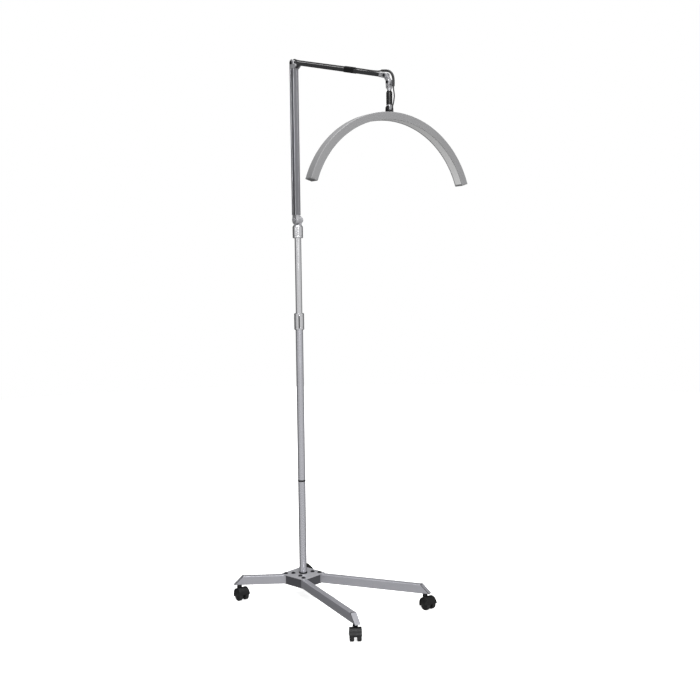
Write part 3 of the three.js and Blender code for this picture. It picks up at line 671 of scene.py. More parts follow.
def finish_named(kind):
    """Each finish is made once, the first time that a piece asks for it."""
    name = f"exam_{kind}"
    found = bpy.data.materials.get(name)
    if found:
        return found
    colours = bpy.context.scene.lamp_finish
    up, across = (0, 0, 1), (1, 0, 0)
    makers = {
        "leg_paint": lambda: satin_paint(name, colours.grey_paint, dust_below=0.09),
        "pole_paint": lambda: satin_paint(name, colours.pole_paint, metallic=0.85, roughness=0.27),
        # Painted shade: the hub gets a dark grey for the shade under its plate and between the legs.
        "hub_paint": lambda: satin_paint(name, colours.hub_paint, dust_below=0.10, roughness=0.45),
        "plate_satin": lambda: satin_paint(name, colours.plate, dust_below=0.10, metallic=0.4),
        "tube_polished": lambda: drawn_metal(name, colours.metal, up, 0.13, tone=0.03),
        "collar_plated": lambda: drawn_metal(name, colours.metal, across, 0.10, line_scale=500.0, tone=0.03),
        "arm_drawn": lambda: drawn_metal(name, colours.aluminium, up, 0.30),
        "alloy": lambda: cast_alloy(name, colours.alloy),
        "boom_paint": lambda: satin_paint(name, colours.boom_paint, metallic=0.0, roughness=0.5, coat=0.0),
        "lamp_paint": lambda: satin_paint(name, colours.lamp_paint, metallic=0.1, roughness=0.48, coat=0.04),
        "plastic": lambda: moulded(name, colours.black),
        "fine_plastic": lambda: moulded(name, colours.black, 0.33, 0.00002, 1500.0),
        "rubber": lambda: tread_rubber(name, colours.black),
        "sheath": lambda: cable_sheath(name, colours.black),
        "black_bolt": lambda: black_oxide(name),
        "opal": lambda: opal_cover(name, colours.opal),
        "strip_board": lambda: strip_board(name),
    }
    return makers[kind]()


# ---------------------------------------------------------------- small shared pieces


def socket_head(radius, z0, z1, socket):
    """A screw head with a hexagonal socket, standing on z0."""
    deep = z1 - 0.55 * (z1 - z0) - 0.4
    form = turned(
        [(0, z0), (radius, z0), (radius, z1), (socket, z1), (socket * 0.94, deep), (0, deep)],
        corner=0.3, sides=48,
    )
    return hexagonal(form, socket + 0.15, deep - 0.01, z1 + 0.01)


def bolt_along_y(head, half_length, thick, socket):
    """A bolt across a hinge: a socket head at -Y and a domed nut end at +Y, joined by its shank."""
    to_minus_y = Matrix.Rotation(math.pi / 2, 4, "X")
    near = half_length - thick
    front = moved(socket_head(head, near, half_length, socket), to_minus_y)
    shank = turned(rod_outline(2.3, -near - 0.2, near + 0.2), axis="Y", sides=32)
    back = turned(
        [(0, near), (head, near), (head, half_length - 0.7), (head - 1.4, half_length), (0, half_length)],
        corner=0.35, sides=48, axis="Y",
    )
    return [front, shank, back]


# ---------------------------------------------------------------- stand

LEG = {"width": 20, "low": 51, "high": 81, "tip": 16}
LEG_START = {"front": (6.4, 26.6), "rear": (-17, 17)}
PLATE = {"half": 54, "low": 81.3, "high": 84.3, "corner": 4}
SCREW_PLACES = (10, 36)
SCREW = {"washer": 7.6, "head": 5.4, "height": 3.8, "socket": 2.5}
# The black seam between a leg's tube and its end cap is a painted shadow line; its length along the leg is
# given here.
LEG_END = {"shade_seam": 2, "face": 1.2, "plug": 4}


def leg_frame(corner):
    """The leg's own frame, with X along it from its inner end, and how far out its caster stands."""
    end, side = corner.split("_")
    x, y = LEG_START[end]
    start = Vector((x, y if side == "left" else -y, 0))
    out = pivot(f"caster_swivel_{corner}") - COLUMN.translation
    run = Vector((out.x / MM - start.x, out.y / MM - start.y, 0))
    turn = Matrix.Rotation(math.atan2(run.y, run.x), 4, "Z")
    return COLUMN @ at(start * MM) @ turn, run.length


def leg_tube(reach, corner_radius, edge):
    """A rectangular tube with its outer end cut at 45 degrees."""
    half = LEG["width"] / 2
    end = reach + LEG["tip"]
    form = block(0, end + 20, -half, half, LEG["low"], LEG["high"])
    rounded_along(form, 0, corner_radius, 4)
    bmesh.ops.bisect_plane(
        form, geom=form.verts[:] + form.edges[:] + form.faces[:], plane_co=(end, 0, LEG["low"]),
        plane_no=(1, 0, 1), clear_outer=True, dist=1e-4,
    )
    bmesh.ops.holes_fill(form, edges=[e for e in form.edges if e.is_boundary], sides=0)
    outward(form)
    rim = [e for e in form.edges if e.calc_face_angle(0) > math.radians(35)]
    bmesh.ops.bevel(form, geom=rim, affect="EDGES", offset=edge * 0.6, segments=2, profile=0.5, material=-1)
    return form


def slanted(x, low, high):
    """The lower and the upper end of a line that leans back at 45 degrees, as the leg's end does."""
    return (x - (low - LEG["low"]), low), (x - (high - LEG["low"]), high)


def slanting_plate(near, far, inset, edge=0.0):
    """A plate that lies on the leg's slanting end, from one distance along the leg to another."""
    half = LEG["width"] / 2 - inset
    low, high = LEG["low"] + inset, LEG["high"] - inset
    near_low, near_high = slanted(near, low, high)
    far_low, far_high = slanted(far, low, high)
    return plate([near_low, far_low, far_high, near_high], -half, half, edge, 3)


def leg_end(end, edge):
    """The painted face of the slanting end cap and the plug that goes into the tube."""
    face = end + LEG_END["shade_seam"]
    return [
        slanting_plate(face, face + LEG_END["face"], 0.2, edge * 0.6),
        slanting_plate(end - LEG_END["plug"], face, 3.4),
    ]


class EXAMLAMP_OT_hub(bpy.types.Operator):
    """Builds the hub that holds the four legs, with its top plate"""

    bl_idname = "exam_lamp.hub"
    bl_label = "Hub"

    def execute(self, context):
        edge = context.scene.lamp_stand.edge / MM
        block_copy = copied("hub_block", edge * 0.8)
        piece("hub_casting", [block_copy], Matrix.Identity(4), "hub_paint", "base", ["hub_block"])
        half = PLATE["half"]
        top = block(-half, half, -half, half, PLATE["low"], PLATE["high"])
        rounded_along(top, 2, PLATE["corner"], 8)
        rounded(top, 0.6)
        piece("hub_cover_plate", [top], COLUMN, "plate_satin", "base", ["hub_top_plate"])
        return {"FINISHED"}


class EXAMLAMP_OT_legs(bpy.types.Operator):
    """Builds the four legs with their slanting end caps and clamping screws"""

    bl_idname = "exam_lamp.legs"
    bl_label = "Legs"

    def execute(self, context):
        stand = context.scene.lamp_stand
        edge = stand.edge / MM
        for corner in CORNERS:
            place, reach = leg_frame(corner)
            tube = leg_tube(reach, stand.leg_corner / MM, edge)
            piece(f"{corner}_leg", [tube], place, "leg_paint", "base", [f"leg_{corner}"])
            end = reach + LEG["tip"] + GAP
            piece(f"{corner}_leg_end", leg_end(end, edge), place, "leg_paint", "base", [f"leg_cap_{corner}"])
            # Painted shadow line: a black seam where the tube meets the end cap.
            shade_seam = slanting_plate(end, end + LEG_END["shade_seam"], -0.3, edge * 0.4)
            piece(f"{corner}_leg_shade_seam", [shade_seam], place, "fine_plastic", "base")
            screws = []
            top = PLATE["high"]
            for x in SCREW_PLACES:
                washer = turned(rod_outline(SCREW["washer"], top + 0.1, top + 1), 0.3, 48)
                head = socket_head(SCREW["head"], top + 0.3, top + SCREW["height"], SCREW["socket"])
                screws += [moved(form, at((x, 0, 0))) for form in (washer, head)]
            piece(f"{corner}_screws", screws, place, "black_bolt", "base", [f"leg_screws_{corner}"])
        return {"FINISHED"}


CASTER = {"trail": 15, "axle": 20, "hood": 24, "well": 21.5, "web": 4.2, "half": 19.2}
HOOD_START = math.radians(8)
HOOD_TURN = math.radians(197)


def around_axle(section, corner):
    """A section of (distance from the axle, sideways) swept over the wheels."""
    x, z = CASTER["trail"], CASTER["axle"]
    points = [(x + radius, y, z) for radius, y in section]
    return swept(points, (x, 0, z), (0, -1, 0), HOOD_START, HOOD_TURN, 44, corner)


def caster_hood():
    """The swivelling hood over both wheels, with its web down to the axle and its boss."""
    web, half, well, hood = (CASTER[key] for key in ("web", "half", "well", "hood"))
    shell = around_axle(
        [(3.2, -web), (well, -web), (well, -half), (hood, -half), (hood, half), (well, half), (well, web),
         (3.2, web)], 0.9,
    )
    near, far = well - 0.6, well + 0.6
    lips = [
        around_axle([(near, side * 17.4), (far, side * 17.4), (far, side * 19.1), (near, side * 19.1)], 0.3)
        for side in (-1, 1)
    ]
    centre = (CASTER["trail"], 0, CASTER["axle"])
    cheek = moved(turned(rod_outline(8, -CASTER["web"], CASTER["web"]), 0.6, 48, axis="Y"), at(centre))
    top = LEG["low"] - 2
    boss = turned([(0, 34), (8.5, 34), (8.5, top - 2.4), (7.6, top - 1.6), (7.6, top), (0, top)], 0.5, 48)
    return [shell, cheek, boss, *lips]


def caster_wheel(side, spokes):
    """One wheel of the pair, with a dished outer face, a hub cap and raised ribs."""
    profile = [
        (0, 17.3), (6.2, 17.3), (7.4, 16.2), (8.6, 16.2), (9.4, 17.5), (10.4, 17.5), (11, 15.9), (15.4, 15.9),
        (16.2, 18.5), (17.7, 18.5), (20, 16.6), (20, 7), (18, 4.9), (4, 4.9), (4, 3.6), (0, 3.6),
    ]
    wheel = turned(profile, 0.45, 72, axis="Y")
    ribs = []
    for i in range(spokes):
        rib = block(10, 16.4, 15.6, 17.1, -1.1, 1.1, 0.4)
        ribs.append(moved(rib, Matrix.Rotation(i * math.tau / spokes, 4, "Y")))
    flip = Matrix.Rotation(math.pi if side < 0 else 0, 4, "Z")
    return [moved(form, flip) for form in [wheel, *ribs]]


class EXAMLAMP_OT_casters(bpy.types.Operator):
    """Builds the four swivel casters: hood, stem collar and twin wheels"""

    bl_idname = "exam_lamp.casters"
    bl_label = "Casters"

    def execute(self, context):
        spokes = context.scene.lamp_stand.spokes
        for corner in CORNERS:
            foot = pivot(f"caster_swivel_{corner}")
            place = at((foot.x, foot.y, 0)) @ heading(f"wheel_roll_{corner}")
            piece(
                f"{corner}_caster_hood", caster_hood(), place, "plastic", f"caster_{corner}",
                [f"caster_fork_{corner}"],
            )
            under = LEG["low"] - GAP
            collar = turned(rod_outline(6.4, under - 2.1, under), 0.3, 48)
            piece(f"{corner}_stem_collar", [collar], place, "black_bolt", f"caster_{corner}")
            axle = at(pivot(f"wheel_roll_{corner}")) @ heading(f"wheel_roll_{corner}")
            rod = turned(rod_outline(2.9, -5, 5), 0.2, 32, axis="Y")
            wheels = [*caster_wheel(-1, spokes), *caster_wheel(1, spokes), rod]
            piece(
                f"{corner}_wheels", wheels, axle, "rubber", f"wheels_{corner}",
                [f"caster_wheels_{corner}"],
            )
        return {"FINISHED"}


# ---------------------------------------------------------------- column

FOOT = {"low": 84.6, "high": 89.6, "spigot": 118}
POLE = {"inner": 11.3, "outer": 12.5, "joint": 407, "top": 949}
UPPER_POLE = {"inner": 9.8, "outer": 11, "low": 694, "high": 1256}
CLAMP = {"low": 929, "high": 985, "outer": 16.75, "slot": -46, "slot_width": 4}
COLLAR = {"low": 1237.5, "high": 1278.5, "outer": 17.35}


class EXAMLAMP_OT_lower_column(bpy.types.Operator):
    """Builds the two lower poles with the rings at their foot and joint"""

    bl_idname = "exam_lamp.lower_column"
    bl_label = "Lower column"

    def execute(self, context):
        sides = context.scene.lamp_column.sides
        rim = context.scene.lamp_column.rim / MM
        low, high = FOOT["low"], FOOT["high"]
        foot = turned(
            [(0, low), (14.5, low), (14.5, high - 1.6), (13.2, high), (10.9, high), (10.9, FOOT["spigot"]),
             (0, FOOT["spigot"])],
            0.4, sides,
        )
        piece("foot_ring", [foot], COLUMN, "plastic", "base", ["pole_foot"])
        for name, node, z0, z1 in (
            ("lower_tube", "lower_pole", high + GAP, POLE["joint"]),
            ("middle_tube", "middle_pole", POLE["joint"] + 5 + 2 * GAP, POLE["top"]),
        ):
            wall = turned(pipe_outline(POLE["inner"], POLE["outer"], z0, z1), rim, sides, closed=True)
            piece(name, [wall], COLUMN, "pole_paint", "base", [node])
        low = POLE["joint"] + GAP
        ring = turned(
            [(0, low - 26), (11, low - 26), (11, low), (13.1, low), (13.1, low + 5), (11, low + 5),
             (11, low + 26), (0, low + 26)], 0.5, sides,
        )
        piece("joint_ring", [ring], COLUMN, "plastic", "base", ["pole_joint"])
        return {"FINISHED"}


class EXAMLAMP_OT_clamp(bpy.types.Operator):
    """Builds the height clamp: its black body and the split sleeve that locks it"""

    bl_idname = "exam_lamp.clamp"
    bl_label = "Clamp"

    def execute(self, context):
        sides = context.scene.lamp_column.sides
        low, high, outer = CLAMP["low"], CLAMP["high"], CLAMP["outer"]
        step = POLE["top"] + GAP
        body = turned(
            [(12.8, low + 5), (14.2, low + 5), (14.2, high - 7), (11.3, high - 7), (11.3, step),
             (12.8, step)], 0.2, sides, closed=True,
        )
        piece("clamp_core", [body], COLUMN, "fine_plastic", "base", ["clamp_body"])
        section = [
            (12.8, low), (outer - 1.3, low), (outer, low + 2.6), (outer, low + 8), (outer - 0.5, low + 8.5),
            (outer - 0.5, low + 9.6), (outer, low + 10.1), (outer, high - 10.1), (outer - 0.5, high - 9.6),
            (outer - 0.5, high - 8.5), (outer, high - 8), (outer, high - 2.6), (outer - 1.3, high),
            (11.4, high), (11.4, high - 6.4), (14.5, high - 6.4), (14.5, low + 4.7), (12.8, low + 4.7),
        ]
        slot = CLAMP["slot_width"] / outer
        sleeve = swept(
            [(radius, 0, z) for radius, z in section], (0, 0, 0), (0, 0, 1),
            math.radians(CLAMP["slot"]) + slot / 2, math.tau - slot, sides, corner=0.35,
        )
        piece(
            "clamp_shell", [sleeve], COLUMN, "collar_plated", "clamp_sleeve", ["clamp_sleeve"],
        )
        return {"FINISHED"}


class EXAMLAMP_OT_upper_column(bpy.types.Operator):
    """Builds the polished upper pole and the plated collar on top, with its screws"""

    bl_idname = "exam_lamp.upper_column"
    bl_label = "Upper column"

    def execute(self, context):
        sides = context.scene.lamp_column.sides
        rim = context.scene.lamp_column.rim / MM
        inner, outer, low, high = (UPPER_POLE[key] for key in ("inner", "outer", "low", "high"))
        wall = turned(pipe_outline(inner, outer, low, high), rim, sides, closed=True)
        piece("upper_tube", [wall], COLUMN, "tube_polished", "mast", ["upper_pole"])
        bottom, top, radius = COLLAR["low"], COLLAR["high"], COLLAR["outer"]
        collar = turned(
            [(11.3, bottom), (radius - 1.6, bottom), (radius, bottom + 1.6), (radius, bottom + 6),
             (radius - 0.6, bottom + 6.6), (radius - 0.6, bottom + 7.8), (radius, bottom + 8.4),
             (radius, top - 3), (radius - 2.4, top), (8.4, top), (8.4, high + GAP), (11.3, high + GAP)],
            0.4, sides, closed=True,
        )
        piece("plated_collar", [collar], COLUMN, "collar_plated", "mast", ["top_collar"])
        middle = (bottom + top) / 2 + 2
        grubs = []
        for angle in (70, 250):
            outwards = Matrix.Rotation(math.radians(angle), 4, "Z") @ Matrix.Rotation(math.pi / 2, 4, "Y")
            grub = socket_head(2.4, radius - 1.4, radius + 0.15, 1.2)
            grubs.append(moved(grub, at((0, 0, middle)) @ outwards))
        piece("collar_screws", grubs, COLUMN, "black_bolt", "mast")
        return {"FINISHED"}


# ---------------------------------------------------------------- turret and lower arm

DISC = {"radius": 15.5, "cheek": 10}
ARM = {"half": 11, "low": 1315, "high": 1791.7}
ELBOW_CHEEK = 4.6


def hinge_disc(y0, y1):
    """A round hinge face with a raised rim, lying across the arm."""
    radius = DISC["radius"]
    inner, outer = (y0, y1) if abs(y0) < abs(y1) else (y1, y0)
    out = 1 if outer > inner else -1
    profile = [
        (0, inner), (radius, inner), (radius, outer - out * 2.2), (radius - 2, outer - out * 0.2),
        (radius - 4, outer), (11, outer), (10.2, outer - out * 1.1), (0, outer - out * 1.1),
    ]
    return outward(turned(profile, 0.35, 80, axis="Y"))


class EXAMLAMP_OT_turret(bpy.types.Operator):
    """Builds the hinge on top of the column: yoke, arm foot, bolt and clamp knob"""

    bl_idname = "exam_lamp.turret"
    bl_label = "Turret"

    def execute(self, context):
        top = COLLAR["high"]
        at_hinge = at((0, 0, HINGE_Z))
        spigot = turned(
            [(0, top - 18), (8, top - 18), (8, top + GAP), (14.5, top + GAP), (14.5, top + 2),
             (12.6, top + 4), (0, top + 4)], 0.4, 80,
        )
        web = plate(mirrored([(11, top + 2), (13, HINGE_Z - 5)]), 0.9, 9.2, 1.0, 3)
        yoke = [spigot, web, moved(hinge_disc(GAP, DISC["cheek"]), at_hinge)]
        piece("hinge_yoke_casting", yoke, ARMS, "alloy", "turret", ["hinge_yoke"])
        outside, half = ARM_OFFSET - 8.5, ARM["half"]
        neck = plate(mirrored([(half, ARM["low"] - GAP), (13.4, HINGE_Z + 6)]), outside + 0.6, -0.6, 0.8, 3)
        sides = (ARM_OFFSET - half, ARM_OFFSET + half)
        rim = block(-half, half, *sides, HINGE_Z + 15.9, ARM["low"] - GAP, 0.35)
        foot = [neck, rim, moved(hinge_disc(outside, -GAP), at_hinge)]
        piece("arm_foot_casting", foot, ARMS, "alloy", "lower_arm", ["lower_arm_foot"])
        head = moved(socket_head(7.4, 13.3, 17, 3.2), Matrix.Rotation(math.pi / 2, 4, "X"))
        shank = turned(rod_outline(4, -13.4, 14), 0.2, 40, axis="Y")
        screw = [moved(form, at_hinge) for form in (head, shank)]
        piece("hinge_screw", screw, ARMS, "alloy", "turret", ["hinge_bolt"])
        self.knob(context.scene.lamp_column.lobes, at_hinge)
        return {"FINISHED"}

    def knob(self, lobes, at_hinge):
        near = DISC["cheek"] + GAP
        far = near + 7.3
        profile = [(0, near), (8.2, near), (9.9, near + 1.4), (9.9, far - 1.9), (8.2, far), (0, far)]
        knob = turned(profile, 0.5, 96, axis="Y")
        for vert in knob.verts:
            reach = math.hypot(vert.co.x, vert.co.z)
            if reach > 7:
                dip = 0.10 * (0.5 - 0.5 * math.cos(lobes * math.atan2(vert.co.z, vert.co.x))) ** 3
                vert.co.x *= 1 - dip
                vert.co.z *= 1 - dip
        cap = turned(rod_outline(4.2, near + 7, near + 7.8), 0.3, 48, axis="Y")
        forms = [moved(form, at_hinge) for form in (knob, cap)]
        piece("clamp_knob", forms, ARMS, "alloy", "hinge_knob", ["hinge_knob"])


def grooved_square(half, corner, groove_width, groove_depth, z):
    """A flat square section with a shallow groove along the middle of each side."""
    form = bmesh.new()
    g = groove_width / 2
    floor = half - groove_depth
    side = [(half, -half), (half, -g), (floor, -g + 0.5), (floor, g - 0.5), (half, g)]
    verts = []
    for quarter in range(4):
        turn = Matrix.Rotation(quarter * math.pi / 2, 3, "Z")
        verts += [form.verts.new(turn @ Vector((x, y, z))) for x, y in side]
    form.faces.new(verts)
    corners = verts[::5]
    creases = [v for v in verts if v not in corners]
    round_corners(form, corners, corner, 5)
    round_corners(form, [v for v in creases if v.is_valid], 0.22, 2)
    return form


class EXAMLAMP_OT_lower_arm(bpy.types.Operator):
    """Builds the upright arm: its grooved tube, the socket in its back and the elbow bracket"""

    bl_idname = "exam_lamp.lower_arm"
    bl_label = "Lower arm"

    def execute(self, context):
        arm = context.scene.lamp_arm
        aside = at((0, ARM_OFFSET, 0))
        low, high, half = ARM["low"], ARM["high"], ARM["half"]
        section = grooved_square(half, arm.corner / MM, arm.groove_width / MM, arm.groove_depth / MM, low)
        tube = moved(drawn_out(section, (0, 0, high - low)), aside)
        piece("arm_extrusion", [tube], ARMS, "arm_drawn", "lower_arm", ["lower_arm_tube"])
        self.socket(half, low, aside)
        self.elbow(half, high + GAP, aside)
        return {"FINISHED"}

    def socket(self, half, low, aside):
        to_back = at((0, 0, low + 60)) @ Matrix.Rotation(-math.pi / 2, 4, "Y")
        ring = turned(
            [(2.6, half - 3), (4, half - 3), (4, half + GAP), (6, half + GAP), (6, half + 1.5),
             (5.2, half + 2.2), (2.6, half + 2.2)], 0.25, 48, closed=True,
        )
        floor = turned(rod_outline(3.2, half - 3, half - 2), 0.1, 32)
        pin = turned(rod_outline(0.6, half - 2.2, half + 1.6), 0.15, 24)
        forms = [moved(form, aside @ to_back) for form in (ring, floor, pin)]
        piece("power_socket", forms, ARMS, "fine_plastic", "lower_arm", ["power_inlet"])

    def elbow(self, half, base, aside):
        outline = [
            (-half, base), (13, base), (25, ELBOW_Z - 14), (25, ELBOW_Z - 9.5), (half, ELBOW_Z - 3),
            *arc(0, ELBOW_Z, half, 0, 180, 28),
        ]
        cheeks = two_plates(outline, half, ELBOW_CHEEK)
        shoulder = block(-half, half - 2, -half, half, base, base + 2.5, 0.4)
        bracket = [moved(form, aside) for form in [*cheeks, shoulder]]
        piece("elbow_bracket", bracket, ARMS, "alloy", "lower_arm", ["elbow_fork"])
        bolt = bolt_along_y(5.6, half + GAP + 2.6, 2.6, 2.4)
        piece("elbow_pin", bolt, ELBOW, "black_bolt", "lower_arm", ["elbow_bolt"])


# ---------------------------------------------------------------- boom

BOOM_TUBE = {"half": 6, "start": 16.3, "end": 459.8}
JAW = {"half": 7.8, "cheek": 3.4}
HEAD_BOLT = (4.4, 10.3, 2.2, 1.9)  # head radius, half length, head height and socket radius
LEAD = {"radius": 2.3, "sleeve": 3.8, "thin": 1.9}
LEAD_HEIGHT = 8.8
CLIP = {"middle": 309, "half": 24}


class EXAMLAMP_OT_boom(bpy.types.Operator):
    """Builds the sloping boom with its heel, its end fork and the clip on its cable"""

    bl_idname = "exam_lamp.boom"
    bl_label = "Boom"

    def execute(self, context):
        half, start, end = (BOOM_TUBE[key] for key in ("half", "start", "end"))
        corner = context.scene.lamp_arm.boom_corner / MM
        eye = turned(rod_outline(half, -half, half), 0.6, 64, axis="Y")
        tongue = block(0, start - GAP, -half, half, -half, half, 0.8)
        piece("boom_eye", [eye, tongue], BOOM, "boom_paint", "boom", ["boom_heel"])
        bar = block(start, end, -half, half, -half, half)
        rounded_along(bar, 0, corner, 5)
        piece("boom_bar", [bar], BOOM, "boom_paint", "boom", ["boom_tube"])
        self.fork(end)
        self.clip(half)
        return {"FINISHED"}

    def fork(self, end):
        front = BOOM_PIVOT - 10.6
        body = block(end + GAP, front, -JAW["half"], JAW["half"], -7, 7, 1.4, 3)
        outline = [(front - 4, -7), *arc(BOOM_PIVOT, 0, 8, -90, 90, 24), (front - 4, 7)]
        cheeks = two_plates(outline, JAW["half"], JAW["cheek"])
        piece("boom_end_fork", [body, *cheeks], BOOM, "alloy", "boom", ["boom_fork"])
        bolt = [moved(form, at((BOOM_PIVOT, 0, 0))) for form in bolt_along_y(*HEAD_BOLT)]
        piece("upper_head_bolt", bolt, BOOM, "black_bolt", "boom", ["head_bolt_upper"])

    def clip(self, half):
        """A saddle over the cable, with a strap around the boom."""
        reach = CLIP["half"]
        wall = half + 1.0
        over = LEAD_HEIGHT + LEAD["radius"] + 1.0
        section = mirrored([(wall, -half - 0.9), (wall, half + 1.2), (3.6, over)])
        form = bmesh.new()
        form.faces.new([form.verts.new((CLIP["middle"] - reach, y, z)) for y, z in section])
        round_corners(form, form.verts[:], 1.1, 4)
        drawn_out(form, (2 * reach, 0, 0))
        rounded(form, 0.5)
        piece("cable_clip", [form], BOOM, "fine_plastic", "boom")


# ---------------------------------------------------------------- cables

# in the boom's own frame, from the elbow pivot
BOOM_LEAD_ROUTE = [
    (-9.9, 0, 1), (-6.5, 0, 8), (1, 0, 10.9), (13, 0, 9.9), (28, 0, LEAD_HEIGHT + 0.2),
    (50, 0, LEAD_HEIGHT), (130, 0, LEAD_HEIGHT), (240, 0, LEAD_HEIGHT), (350, 0, LEAD_HEIGHT),
    (440, 0, LEAD_HEIGHT), (453, 0, 10), (462, 0, 12.1),
]
# in the arms' direction, from the elbow pivot
ELBOW_LEAD_ROUTE = [(-4.4, 0, -17), (-5.6, 0, -11), (-8, 0, -5), (-9.6, 0, 0.6), (-9.4, 0, 3.2)]
# from the pivot at the end of the boom
SLEEVE_ROUTE = [
    (-19.3, 0, 17.1), (-12, 0, 15.9), (-3, 0.2, 14.6), (6, 0.8, 12.8), (15, 2, 9.2), (21.5, 3.4, 3.2),
    (25.5, 4.6, -5), (27.2, 5, -14), (27.6, 5, -24), (27, 5, -34),
]
SLEEVE_SPLIT = 5
# from the lower head pivot
LAMP_LEAD_ROUTE = [
    (13, 5, -13.4), (13.6, 5.2, -22), (15.6, 5.5, -34), (16.7, 5.1, -43.6), (15.6, 3, -60),
    (13.2, 1.2, -71), (12.15, 0.57, -77.5),
]
LEAD_SPLIT = 3


class EXAMLAMP_OT_cables(bpy.types.Operator):
    """Lays the cable from the arm along the boom, and over the head's joints down to the lamp"""

    bl_idname = "exam_lamp.cables"
    bl_label = "Cables"

    def execute(self, context):
        flexible("boom_lead", BOOM_LEAD_ROUTE, LEAD["radius"], BOOM, ["boom"], ["boom_cable"])
        flexible("elbow_lead", ELBOW_LEAD_ROUTE, LEAD["radius"], ELBOW, ["lower_arm", "boom"])
        upper, lower = SLEEVE_ROUTE[: SLEEVE_SPLIT + 1], SLEEVE_ROUTE[SLEEVE_SPLIT:]
        flexible(
            "joint_sleeve_upper", upper, LEAD["sleeve"], HEAD, ["boom", "head_link"], ["cable_sleeve"],
        )
        flexible("joint_sleeve_lower", lower, LEAD["sleeve"], HEAD, ["head_link", "neck"])
        self.lead()
        return {"FINISHED"}

    def lead(self):
        """The thin lead hangs free from the sleeve to the gland on the lamp, in two stretches that meet."""
        stretches = (
            ("lamp_lead_upper", LAMP_LEAD_ROUTE[: LEAD_SPLIT + 1], ["neck", "grip"]),
            ("lamp_lead_lower", LAMP_LEAD_ROUTE[LEAD_SPLIT:], ["grip", "lamp"]),
        )
        for name, route, bodies in stretches:
            made, path = flexible(name, route, LEAD["thin"], NECK_PLACE, bodies, ["lamp_lead"])


# ---------------------------------------------------------------- head

LINK = {"x": 14, "z": -21, "end": 7.6}
NECK = {"web": -10.5, "taper": -18, "rod": 4.5, "rod_end": -59.5}
GRIP = {"outer": 9, "inner": 4.8, "top": -25.5, "bottom": -65.5}
TILT = {"below": -76, "tongue": 6.5, "half": 4.5, "cheek": 5}


class EXAMLAMP_OT_head(bpy.types.Operator):
    """Builds the head's link, neck, grip and tilting tongue with their bolts"""

    bl_idname = "exam_lamp.head"
    bl_label = "Head"

    def execute(self, context):
        length = math.hypot(LINK["x"], LINK["z"])
        slope = Matrix.Rotation(math.atan2(-LINK["z"], LINK["x"]), 4, "Y")
        end = LINK["end"]
        bar = plate([*arc(0, 0, end, 90, 270, 20), *arc(length, 0, end, -90, 90, 20)], -4, 4, 0.8, 3)
        piece("link_bar", [moved(bar, slope)], HEAD, "alloy", "head_link", ["head_link"])
        self.neck()
        bolt = bolt_along_y(*HEAD_BOLT)
        piece("lower_head_bolt", bolt, NECK_PLACE, "black_bolt", "neck", ["head_bolt_lower"])
        self.grip(context.scene.lamp_column.sides)
        self.tongue()
        return {"FINISHED"}

    def neck(self):
        taper, web = NECK["taper"], NECK["web"]
        outline = [(-6.5, taper), (6.5, taper), *arc(0, 0, 8, 0, 180, 24)]
        cheeks = two_plates(outline, JAW["half"], JAW["cheek"])
        bridge = block(-6.5, 6.5, -JAW["half"], JAW["half"], taper, web, 1.0, 3)
        cone = turned(
            [(0, NECK["rod_end"]), (NECK["rod"], NECK["rod_end"]), (NECK["rod"], GRIP["top"] + 1),
             (6, GRIP["top"] + 1), (7.8, taper + 0.6), (0, taper + 0.6)], 0.3, 64,
        )
        piece("neck_casting", [*cheeks, bridge, cone], NECK_PLACE, "alloy", "neck", ["neck"])

    def grip(self, sides):
        inner, outer, top, bottom = (GRIP[key] for key in ("inner", "outer", "top", "bottom"))
        profile = [
            (inner, bottom), (outer, bottom), (outer, bottom + 3), (outer - 0.4, bottom + 3.4),
            (outer - 0.4, bottom + 4.4), (outer, bottom + 4.8), (outer, top - 4.6), (outer - 2.2, top),
            (inner, top),
        ]
        sleeve = turned(profile, 0.3, sides, closed=True)
        piece("swivel_grip", [sleeve], TURN_PLACE, "fine_plastic", "grip", ["grip"])

    def tongue(self):
        flange = GRIP["bottom"] - GAP
        half, radius, below = TILT["half"], TILT["tongue"], TILT["below"]
        top = NECK["rod_end"] - 0.4
        stem = turned(
            [(0, flange - 2.7), (8.2, flange - 2.7), (8.2, flange), (4.4, flange), (4.4, top), (0, top)],
            0.3, 64,
        )
        outline = [(-radius, flange - 1), *arc(0, below, radius, 180, 360, 24), (radius, flange - 1)]
        blade = plate(outline, -half, half, 0.6, 3)
        piece("tilt_blade", [stem, blade], TURN_PLACE, "alloy", "grip", ["tilt_tongue"])


# ---------------------------------------------------------------- lamp

LAMP = {"radius": 289, "thickness": 22, "half": 18, "wall": 2, "angle": 72.2, "above": 11.5}
CAP_ANGLE = 0.6
COVER_ANGLE = 1.2
BUTTON = {"radius": 4.5, "angle": 10, "centre": 278}
GLAND_PLACE = (12, 2, 0)


def lamp_arc(section, start, end, steps, corner=0.0):
    """A section of (x, radius) swept around the lamp's centre, from one angle off the top to another."""
    centre = (0, 0, -LAMP["above"] - LAMP["radius"])
    return swept(
        [(x, 0, centre[2] + radius) for x, radius in section], centre, (-1, 0, 0),
        math.radians(start), math.radians(end - start), steps, corner,
    )


